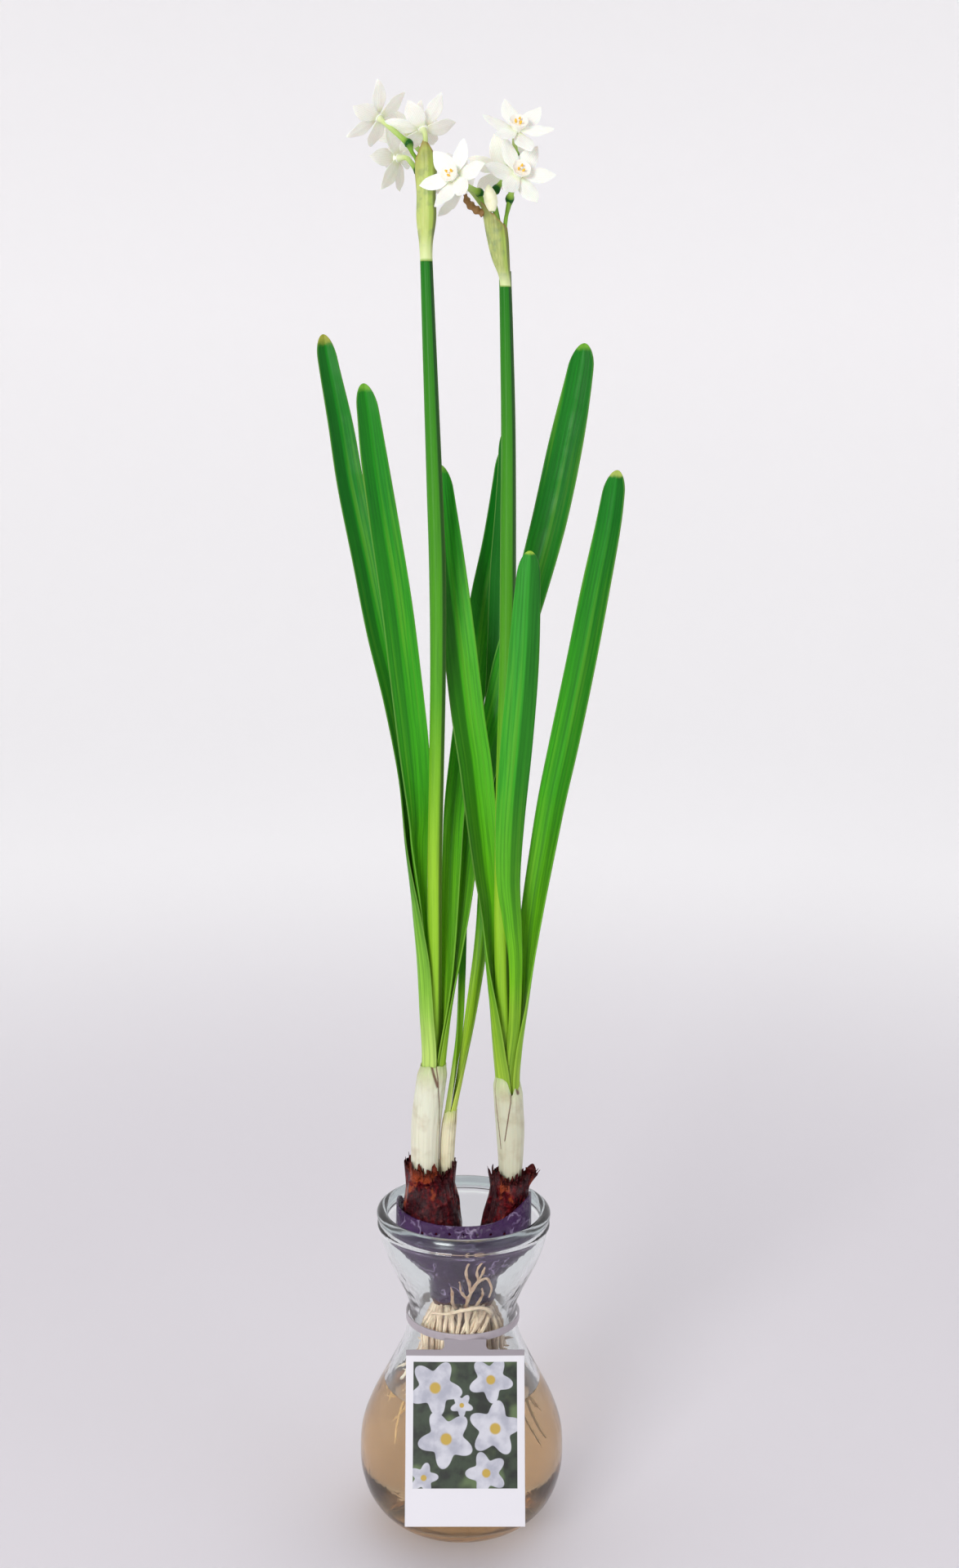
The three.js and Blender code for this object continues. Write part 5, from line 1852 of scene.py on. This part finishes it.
LEFT_BLOOMS = (
    Bloom("floret_left_1", (-40.6, 5, 631.6), (-0.62, 0.52, 0.58), -2,
          (-26.8, -2, 619.5), (-22.3, -0.6, 608), 31),
    Bloom("floret_left_2", (-21.5, 1, 627), (-0.23, 0.65, 0.72), 13,
          (-20, 3, 609.5), (-19, -1.1, 597), 32),
    Bloom("floret_left_3", (-33.5, 12.5, 615.5), (-0.84, 0.54, 0.06), 55,
          (-23, 2, 609), (-20.4, 1.2, 596), 33),
    Bloom("floret_left_4", (-29, 28, 628.5), (-0.3, 0.66, 0.69), 7,
          (-19.5, 13, 615.5), (-18.6, 1.2, 597), 34),
)
RIGHT_BLOOMS = (
    Bloom("floret_right_1", (18, -4, 626.5), (0.16, -0.68, 0.72), 56,
          (17.5, 6.5, 616), (13.6, 3, 588), 41),
    Bloom("floret_right_2", (19, -8, 608), (0.28, -0.84, 0.47), 71,
          (15.3, 5, 598.6), (13.4, 0.6, 587), 42),
    Bloom("floret_right_3", (-8.5, -16.5, 605.5), (-0.51, -0.8, 0.32), -16,
          (2.7, -3.7, 600), (10, -1.6, 590.5), 43),
    Bloom("floret_right_4", (-7, 11.5, 605), (-0.84, 0.43, 0.34), 49,
          (6, 3.5, 593.5), (10.6, 2.2, 583), 44),
    Bloom("floret_right_5", (12.5, 13, 612), (-0.12, 0.75, 0.65), 19,
          (9.3, 4.5, 602), (11, 3.2, 588), 45),
)


def leaves() -> list[Leaf]:
    """The nine leaves: four of the left bulb, two of its offset shoot and three of the right bulb.

    Returns:
        Leaves to build.
    """
    return [
        Leaf("leaf_left_outer", LeafFinish(
            "leaf_green_a", base=(206, 226, 128), low=(148, 206, 68), shaded_side=Side.LOW, tip=(156, 160, 62),
            tip_reach=3.6,
        ), (
            (198, -22.1, 0, 18.7, 0, 105), (221, -19.3, 0, 18.8, 0, 105), (245, -20.4, 0.2, 18.6, -3, 103),
            (268, -21.5, 0.8, 17.6, -6, 98), (292, -23.4, 2.6, 16, -18, 80), (320, -25.4, 5, 15, -40, 62),
            (350, -26.2, 8.2, 14.4, -60, 48), (382, -31.5, 10.6, 13.8, -72, 40),
            (414, -39.2, 12, 13.3, -78, 36), (446, -45.6, 14, 13.2, -80, 34), (478, -52.4, 16, 12.7, -80, 34),
            (505, -57, 17.5, 11.6, -80, 34), (530, -62.1, 18.7, 9.4, -80, 36), (543, -64.3, 19, 8, -80, 38),
        )),
        Leaf("leaf_left_inner", LeafFinish(
            "leaf_green_b", shaded_side=Side.LOW, shade_depth=0.25, high=(30, 136, 26),
        ), (
            (198, -20.75, 0, 10.5, 0, 80), (221, -17.95, 0, 10.5, 0, 80), (245, -18.9, 0.1, 10, -3, 80),
            (268, -19.8, 0.6, 9.5, -6, 80), (292, -21.5, 2, 10.2, -18, 75), (320, -22.9, 3.4, 12, -42, 60),
            (335, -22.4, 3.2, 14.2, -54, 49), (366, -24.5, 1.3, 15, -72, 38),
            (398, -27.8, -1.5, 14.8, -80, 34), (430, -31.6, -4.6, 14.4, -82, 33),
            (462, -36.5, -6.6, 13.6, -82, 33), (490, -40.8, -8, 12.2, -82, 34), (510, -43.4, -9, 10, -82, 36),
            (522, -45.2, -9, 8.5, -82, 38),
        )),
        Leaf("leaf_left_right_inner", LeafFinish("leaf_green_c"), (
            (198, -13.15, 0, 9.4, 180, 70), (221, -10.35, 0, 9.4, 180, 70), (253, -7.6, 1.5, 9, 212, 62),
            (274, -6.9, 4.6, 10, 225, 48), (311, -6.2, 9.5, 10.5, 240, 38), (336, -5.3, 15.5, 10.8, 250, 35),
            (360, -2.6, 24, 11.6, 262, 33), (383, 0.8, 31.8, 13.4, 268, 31), (406, 3.2, 35.6, 13, 270, 30),
            (430, 6.2, 37.6, 12, 270, 30), (455, 10.7, 38.8, 10.6, 270, 30), (482, 14, 39.6, 8.6, 270, 32),
            (495, 14.6, 39.8, 7, 270, 34),
        )),
        Leaf("leaf_left_right_outer", LeafFinish(
            "leaf_green_d", shaded_side=Side.HIGH, shade_depth=0.3,
        ), (
            (198, -11.9, 0, 10.7, 180, 60), (221, -9.1, 0, 10.7, 180, 60), (253, -6.4, 2.9, 11.5, 212, 56),
            (271, -4.4, 6, 12, 226, 49), (295, -1.6, 10.4, 12.5, 238, 42), (317, 0.6, 14, 13, 244, 38),
            (339, 4.6, 18, 13.8, 246, 36), (361, 9.2, 21, 14.4, 249, 35), (383, 14.5, 23.6, 15, 250, 35),
            (403, 19, 25.2, 15.8, 250, 34), (430, 27, 27.4, 16.4, 252, 32), (463, 35.3, 30.6, 17, 256, 28),
            (498, 42.3, 34, 16.2, 258, 26), (527, 47.6, 36, 12.6, 258, 27), (541, 49.4, 36.3, 9.6, 258, 30),
        )),
        Leaf("leaf_offset_tall", LeafFinish(
            "leaf_green_e", base=(196, 214, 96), low=(160, 204, 40), high=(20, 112, 22), shaded_side=Side.HIGH,
            heights=(196, 240, 310, 420), shade_depth=0.7, shade_from=190,
        ), (
            (190, -5.5, 0.5, 5.4, 180, 88), (199, -3.9, 0.5, 7, 180, 88), (217, -0.7, 1.6, 7, 200, 76),
            (236, 2.4, 3.6, 7.8, 218, 60), (258, 5.2, 8, 7.2, 236, 48), (273, 6.9, 10.8, 7, 243, 43),
            (290, 8.2, 13.6, 7.2, 248, 40), (325, 9.9, 19.6, 8.4, 254, 35), (362, 11.5, 26.4, 9.6, 257, 32),
            (405, 13.2, 31, 10.8, 258, 30), (441, 14, 32.6, 10.4, 258, 30), (468, 15.5, 33, 9.6, 258, 30),
            (490, 15.6, 33.2, 7.4, 258, 32), (502, 14.6, 33.4, 6, 258, 34),
        )),
        Leaf("leaf_offset_short", LeafFinish(
            "leaf_green_f", base=(206, 216, 130), low=(140, 190, 40), middle=(60, 140, 22),
            heights=(196, 226, 262, 330),
        ), (
            (190, -9.1, 0.5, 5.4, 0, 88), (199, -8.5, 0.5, 7, 0, 88), (217, -5.9, 1, 6.4, -12, 76),
            (236, -3.4, 3.2, 5.4, -32, 60), (258, -2.2, 7.8, 4.2, -52, 48), (273, -1.8, 11.8, 3.8, -64, 42),
            (300, -1.2, 18.6, 3.4, -76, 34),
        )),
        Leaf("leaf_right_left", LeafFinish(
            "leaf_green_g", middle=(88, 190, 26), high=(40, 160, 34), shaded_side=Side.LOW, shade_depth=0.6,
        ), (
            (189, 16.1, 0, 17.8, 0, 105), (211, 14.4, 0, 18.3, 0, 105), (228, 12.8, 0.4, 18.2, -8, 98),
            (246, 11.7, 1.4, 17.4, -20, 86), (268, 10.6, 3.3, 16.4, -38, 70), (291, 10.4, 5.6, 15.8, -56, 55),
            (310, 8.2, 6.8, 15.6, -66, 47), (335, 5.3, 8, 15.7, -73, 41), (357, 2.8, 9.2, 16, -78, 38),
            (379, -0.6, 10.3, 16, -80, 36), (414, -5, 12.6, 15.6, -82, 35), (447, -9.4, 15, 14.6, -82, 34),
            (475, -12.6, 16.4, 11.4, -82, 35), (488, -13.6, 17, 8.6, -82, 38),
        )),
        Leaf("leaf_right_front", LeafFinish(
            "leaf_green_h", middle=(60, 164, 36), high=(48, 150, 50), shaded_side=Side.LOW, tip=(160, 196, 70),
            tip_reach=1.3,
        ), (
            (189, 20.9, -3.35, 7, 90, 60), (211, 19.6, -3.5, 7.4, 90, 60), (238, 21.9, -4.4, 5.8, 90, 47),
            (268, 22.2, -5.3, 6.4, 90, 40), (288, 20.4, -6, 8.8, 90, 38), (308, 18.4, -6.7, 11.2, 90, 36),
            (334, 18.8, -7.7, 13.4, 90, 34), (368, 21.1, -9.6, 14.8, 90, 34), (400, 23.2, -11, 14.6, 90, 34),
            (425, 24.4, -12, 12.9, 90, 34), (443, 25.1, -12.8, 10.6, 90, 36), (453, 25.5, -13, 9, 90, 38),
        )),
        Leaf("leaf_right_outer", LeafFinish(
            "leaf_green_i", shaded_side=Side.HIGH, shade_depth=0.4, tip=(168, 186, 90), tip_reach=2.4,
        ), (
            (189, 25.8, 0, 10.7, 180, 62), (211, 24.5, 0, 11.1, 180, 63), (228, 25.4, 0.3, 12, 186, 62),
            (250, 27.4, 1.3, 12.1, 205, 58), (275, 29, 2.5, 12.6, 225, 50), (295, 31, 2.9, 13, 236, 44),
            (318, 34.2, 2.7, 13.6, 242, 39), (343, 38, 1.9, 14.2, 247, 36), (368, 42.7, 1, 14.7, 250, 35),
            (404, 49.3, -1, 14.5, 250, 35), (437, 54.9, -3, 13.8, 250, 35), (463, 59.4, -4.5, 12.2, 250, 36),
            (478, 61.4, -5, 10.6, 250, 37), (487, 62.4, -5, 9.2, 250, 38),
        )),
    ]


def sheaths() -> list[Sheath]:
    """The three sheaths.

    Returns:
        Sheaths to build.
    """
    return [
        Sheath("sheath_left", SheathFinish("sheath_cream_left"), (
            (160, -18, 0, 6.2, 6.2), (184, -17.8, 0, 6.5, 6.4), (197, -17.1, 0, 6.8, 6.7),
            (221, -14.2, 0, 6.8, 6.8),
        ), 197, dips=((200, 0.8, 60), (60, 3, 50)), lines=((262, 300, 10, 8), (284, 350, 36, 3.5))),
        Sheath("sheath_offset", SheathFinish(
            "sheath_cream_offset", cream=(226, 220, 186), green=(206, 206, 130), green_reach=9,
        ), (
            (160, -8.2, 0.5, 3.2, 2.9), (178, -7.9, 0.5, 3.4, 3.1), (189, -7.3, 0.5, 3.4, 3.2),
            (199, -6.2, 0.5, 3.1, 3.1),
        ), 189, dips=((200, 1.5, 60),), lines=((330, 325, 7, 7), (200, 214, 34, 9)), taper=0.3),
        Sheath("sheath_right", SheathFinish("sheath_cream_right", cream=(206, 206, 180)), (
            (160, 21, 0, 4.6, 4.6), (170, 21.2, 0, 5.3, 5.3), (188, 20.9, 0, 6.4, 6.3),
            (200, 20.1, 0, 6.6, 6.5), (211, 19.4, 0, 6.6, 6.6), (215.6, 19.1, 0, 6.5, 6.5),
        ), 188, dips=((287, 4.6, 20), (322, 5.2, 85)),
            lines=((300, 244, 30, 3.2), (205, 222, 34, 3), (318, 322, 8, 14))),
    ]


def bulbs() -> list[Bulb]:
    """Both bulbs.

    Returns:
        Bulbs to build.
    """
    return [
        Bulb("bulb_left", (
            (108.5, -7.4, 5.4), (111, -7.5, 6.4), (118, -7.8, 6.8), (122, -8.3, 7.3), (127, -10.5, 9.8),
            (131, -12.8, 12), (136, -14.6, 13.8), (144, -15, 14.1), (154, -15, 12.6), (161, -15.2, 11.4),
            (165.5, -15.4, 10.6),
        ), (166, -15.4, 0.1, 10.9, 8.6), 3, 7.5, ((172, 7, 0.4), (15, 3.5, 0.8), (282, 2, 0)), 3),
        Bulb("bulb_right", (
            (108.5, 7.4, 5.4), (111, 7.5, 6.4), (118, 7.8, 6.6), (122, 8.5, 7), (127, 11.8, 9),
            (131, 15, 10.6), (136, 17.4, 11.6), (144, 18.8, 10.7), (154, 20, 9.3), (161, 20.6, 8.7),
            (165.5, 20.8, 8.4),
        ), (164.5, 20.9, 0, 8.4, 7.8), 2, 5.5, ((180, 4.5, 0.6), (5, 2.5, 5.2)), 8),
    ]


def root_masses(vase: Vase) -> list[Roots]:
    """The roots of both bulbs; one thick root of the right bulb wanders across the front of the left ones.

    Args:
        vase: The vase that they grow in.

    Returns:
        Left and right roots.
    """
    left = (
        ((-1, -9, 107.5, 0.9), (-1.5, -14.5, 102, 0.9), (-3, -18, 96, 0.9), (-5, -19.4, 88, 0.8),
         (-6, -20.4, 80, 0.6)),
        ((-4, -8, 107.5, 0.9), (-4.4, -14.5, 102, 0.9), (-3.6, -18.2, 95, 0.9), (-2.6, -20, 86, 0.8)),
        ((-6.5, -7, 107.5, 0.9), (-7.4, -13.6, 102, 0.9), (-8.4, -17, 95, 0.9), (-9, -19.4, 84, 0.7)),
    )
    right = (
        ((10, -3, 105.2, 0.9), (11.8, -11.5, 105.2, 0.95), (12, -16.4, 109.5, 0.95), (8, -18.6, 112.6, 0.9),
         (1, -19.2, 111.6, 0.85), (-7, -18.2, 109.2, 0.7), (-13, -14.6, 108, 0.4)),
        ((10.5, -8, 107.5, 0.95), (6.4, -15.8, 101.5, 0.95), (1.4, -18.8, 95, 0.9), (-2.6, -20, 89, 0.7)),
        ((12.5, -7, 107, 0.9), (9, -15.6, 100, 0.9), (4.4, -19, 93.5, 0.9), (1.4, -20.6, 87, 0.7)),
        ((3.4, -9, 107.5, 0.9), (1.2, -15.4, 101.5, 0.9), (-1.8, -18.8, 95, 0.9), (-5.4, -19.6, 89, 0.7)),
        ((1.4, -9.4, 107.5, 0.9), (2, -15.2, 102, 0.9), (2.6, -18.4, 95.5, 0.9), (5, -20, 86, 0.7)),
        ((6, -8, 107.5, 0.9), (6.8, -14.2, 102, 0.9), (7.6, -17.4, 95, 0.9), (8.6, -19.6, 85, 0.7)),
        ((2, -12, 109, 0.8), (1.5, -15.5, 112, 0.8), (3.4, -16.4, 118, 0.8), (7, -17.6, 125, 0.7),
         (9.6, -18.8, 132, 0.5)),
        ((3.4, -16.4, 118, 0.7), (3, -17.2, 123, 0.7), (1.4, -18.2, 129, 0.6), (2.6, -19, 134, 0.35)),
        ((6.4, -17.4, 124, 0.6), (10.4, -18.4, 126.5, 0.6), (12.6, -18.4, 122.5, 0.6),
         (11.6, -17.4, 117, 0.4)),
        ((7, -17.6, 125, 0.6), (6.2, -18.6, 130, 0.6), (8.2, -19.4, 134.5, 0.35)),
        ((2.4, -16, 115, 0.7), (-0.6, -17, 119, 0.6), (-1.6, -17.6, 124, 0.4)),
        ((-3, -12, 109, 0.8), (-4.4, -15.6, 113, 0.8), (-4.6, -16.4, 118, 0.7), (-5.4, -16.8, 121, 0.4)),
        ((5, -12, 109, 0.7), (6.6, -15.8, 113, 0.7), (8.8, -16.6, 118, 0.6), (8.4, -17.4, 121, 0.4)),
    )
    return [Roots("roots_left", -1, vase, left), Roots("roots_right", 1, vase, right)]


def stems() -> list[FlowerStem]:
    """Both flower stems.

    Returns:
        Stems to build.
    """
    return [
        FlowerStem("stem_left", StemFinish("stem_green_left"), (
            (198, -17, 0, 2.7), (221, -14.2, 0, 2.8), (267, -14, 0, 2.85), (312, -14.3, 0, 2.9),
            (355, -13.8, 0, 2.95), (400, -13.4, 0, 3.1), (443, -13.9, 0, 3.3), (480, -15.4, 0, 3.1),
            (540, -18, 0, 2.6), (580, -19.7, 0, 2.2),
        ), LEFT_BLOOMS),
        FlowerStem("stem_right", StemFinish("stem_green_right"), (
            (189, 20.9, 0.2, 2.6), (211, 19.4, 0.2, 2.8), (240, 17.4, 0.3, 2.9), (275, 15.9, 0.8, 3),
            (316, 15.7, 1.4, 3.1), (357, 16, 2, 3.15), (400, 16.8, 2.6, 3.2), (443, 16.6, 3, 3.15),
            (500, 16, 3, 2.8), (540, 14.8, 2.4, 2.5), (569, 13.7, 1.6, 2.2),
        ), RIGHT_BLOOMS, (
            (13.7, 1.6, 565, 0.9), (10.2, -1.2, 587, 0.8), (9.2, -3.8, 593.2, 0.8), (7.9, -7.2, 593.2, 1.1),
        )),
    ]


def spathes() -> list[Spathe]:
    """Both spathes; the right one has the withered tip.

    Returns:
        Spathes to build.
    """
    return [
        Spathe("spathe_left", SpatheFinish("spathe_paper_left"), (
            (572.6, -19.4, 0, 2.6), (580, -19.6, 0, 2.9), (590, -19.5, 0, 4.1), (600, -19.6, -0.1, 4),
            (611, -19.9, -0.4, 4.8), (616, -20.2, -0.5, 4.4), (621, -20.8, -0.6, 2.8),
        ), 0.55, -80, 1.3, 51),
        Spathe("spathe_right", SpatheFinish("spathe_paper_right", body=(168, 180, 104), blotch_share=0.6), (
            (562.6, 14, 1.8, 2.3), (567, 13.5, 1.7, 2.5), (574, 11.8, 1.4, 3.7), (582.5, 10.4, 1.1, 4.5),
            (590, 9, 0.9, 4.5), (597, 6.8, 0.6, 3.8),
        ), 0.7, 195, 1.5, 52, (
            (4.4, 0.4, 592.4, 1.7), (1, -0.4, 593.8, 1.6), (-2.2, -1, 596.6, 1.5), (-3.4, -1.2, 599.8, 0.7),
        )),
    ]


# ------------------------ stage


@dataclass(frozen=True)
class Lamp:
    """One soft square lamp that points at the plant's middle."""

    name: str
    place: Point
    size: float
    power: float
    tone: Colour = (255, 255, 255)
    aim: Point = (0, 0, 0.32)

    def make(self) -> None:
        """Places the lamp."""
        data = bpy.data.lights.new(self.name, "AREA")
        data.shape = "SQUARE"
        data.size = self.size
        data.energy = self.power
        data.color = linear(self.tone)[:3]
        lamp = bpy.data.objects.new(self.name, data)
        lamp.location = self.place
        x, y, z = np.array(self.aim) - np.array(self.place)
        lamp.rotation_mode = "QUATERNION"
        turn = Euler((math.atan2(math.hypot(x, y), -z), 0, math.atan2(-x, y)))
        lamp.rotation_quaternion = turn.to_quaternion()
        bpy.context.scene.collection.objects.link(lamp)


@dataclass
class Stage:
    """Plain pale studio: a floor that sweeps up into a round wall, soft lamps and the camera."""

    floor_radius: float = 2300
    sweep: float = 700
    wall_top: float = 3400
    paper: float = 20
    floor_tone: Colour = (230, 226, 231)
    wall_tone: Colour = (242, 241, 242)
    front_tone: Colour = (196, 190, 188)
    wall_glow: float = 0.19
    sky_tone: Colour = (250, 251, 255)
    sky_strength: float = 0.46
    camera_place: Point = (0.0052, -0.849, 0.510)
    pitch: float = 10.7
    roll: float = 0.6
    focal: float = 45

    def build_sweep(self) -> None:
        """Turns the floor and wall: level to the floor's edge, a quarter circle, then straight up."""
        arc = np.linspace(0, math.pi / 2, 24)
        floor = [(0, r) for r in (60, 200, 600, 1200, 1800)]
        cove = np.stack([self.sweep * (1 - np.cos(arc)), self.floor_radius + self.sweep * np.sin(arc)], 1)
        top = (self.wall_top, self.floor_radius + self.sweep)
        inner = rounds(*np.concatenate([floor, cove, [top]]).T, 96)
        outer = inner * np.array([1.01, 1.01, 1]) - np.array([0, 0, self.paper])
        shape = Shape()
        shape.loft(up_and_down(inner, outer))
        shader = Shader("pale_paper", Roughness=0.75, Emission_Strength=self.wall_glow)
        x, y, _ = shader.parts(shader.spot())
        back = y.between(-2400, 300)
        far = (x * x + y * y).math("SQRT").between(350, 1500)
        wall = shader.mix(back, self.front_tone, self.wall_tone)
        shader.paint(self.floor_tone, (far, wall))
        shader.vary("Emission Color", shader.mix(far * back, (0, 0, 0), self.wall_tone))
        shader.relief(shader.noise(0.02, 3), 0.6, 0.3)
        shape.make("studio_sweep", [shader.material])

    def build_world(self) -> None:
        """Even soft light from all round."""
        world = bpy.data.worlds.new("soft_light")
        world.use_nodes = True
        background = world.node_tree.nodes["Background"]
        background.inputs["Color"].default_value = linear(self.sky_tone)
        background.inputs["Strength"].default_value = self.sky_strength
        bpy.context.scene.world = world

    def build_camera(self) -> None:
        """Places the camera, which looks along +Y, pitched down and rolled a little."""
        data = bpy.data.cameras.new("viewpoint")
        data.lens = self.focal
        data.sensor_width = 36
        data.clip_start, data.clip_end = 0.05, 20
        camera = bpy.data.objects.new("viewpoint", data)
        camera.location = self.camera_place
        camera.rotation_mode = "QUATERNION"
        pitch = Quaternion((1, 0, 0), math.radians(90 - self.pitch))
        camera.rotation_quaternion = pitch @ Quaternion((0, 0, 1), math.radians(self.roll))
        bpy.context.scene.collection.objects.link(camera)
        bpy.context.scene.camera = camera

    def build_light(self) -> None:
        """Key from the left front, fill from the right and a soft top."""
        Lamp("key", (-0.95, -2.05, 0.95), 0.76, 31).make()
        Lamp("fill", (1.7, -1.2, 0.9), 1.4, 6, (244, 246, 255)).make()
        Lamp("top", (0.2, 0.5, 2.4), 1.6, 10).make()

    def settings(self) -> None:
        """Plain colours and enough light bounces for glass in water."""
        scene = bpy.context.scene
        scene.view_settings.view_transform = "Standard"
        scene.cycles.max_bounces = 20
        scene.cycles.transmission_bounces = 18
        scene.cycles.transparent_max_bounces = 24
        scene.cycles.sample_clamp_indirect = 4
        scene.cycles.use_denoising = True

    def build(self) -> None:
        """Builds the whole stage."""
        self.settings()
        self.build_camera()
        self.build_world()
        self.build_light()
        self.build_sweep()


# ------------------------ main


def main() -> None:
    """Builds every piece in order."""
    logging.basicConfig(level=logging.INFO, format="%(message)s")
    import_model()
    Stage().build()

    vase = Vase()
    for part in (vase, Sleeve(), NeckTag()):
        part.build()
    tunic = TunicFinish().make()
    for bulb in bulbs():
        bulb.build(tunic)
    root = RootFinish().make()
    basal = PlainFinish("basal_plate", (92, 52, 38), (54, 26, 22), 0.5, 0.4).make()
    for roots in root_masses(vase):
        roots.build(root, basal)
    for part in (*sheaths(), *leaves(), *stems(), *spathes(), Florets(LEFT_BLOOMS + RIGHT_BLOOMS), Bud()):
        part.build()


if __name__ == "__main__":
    main()
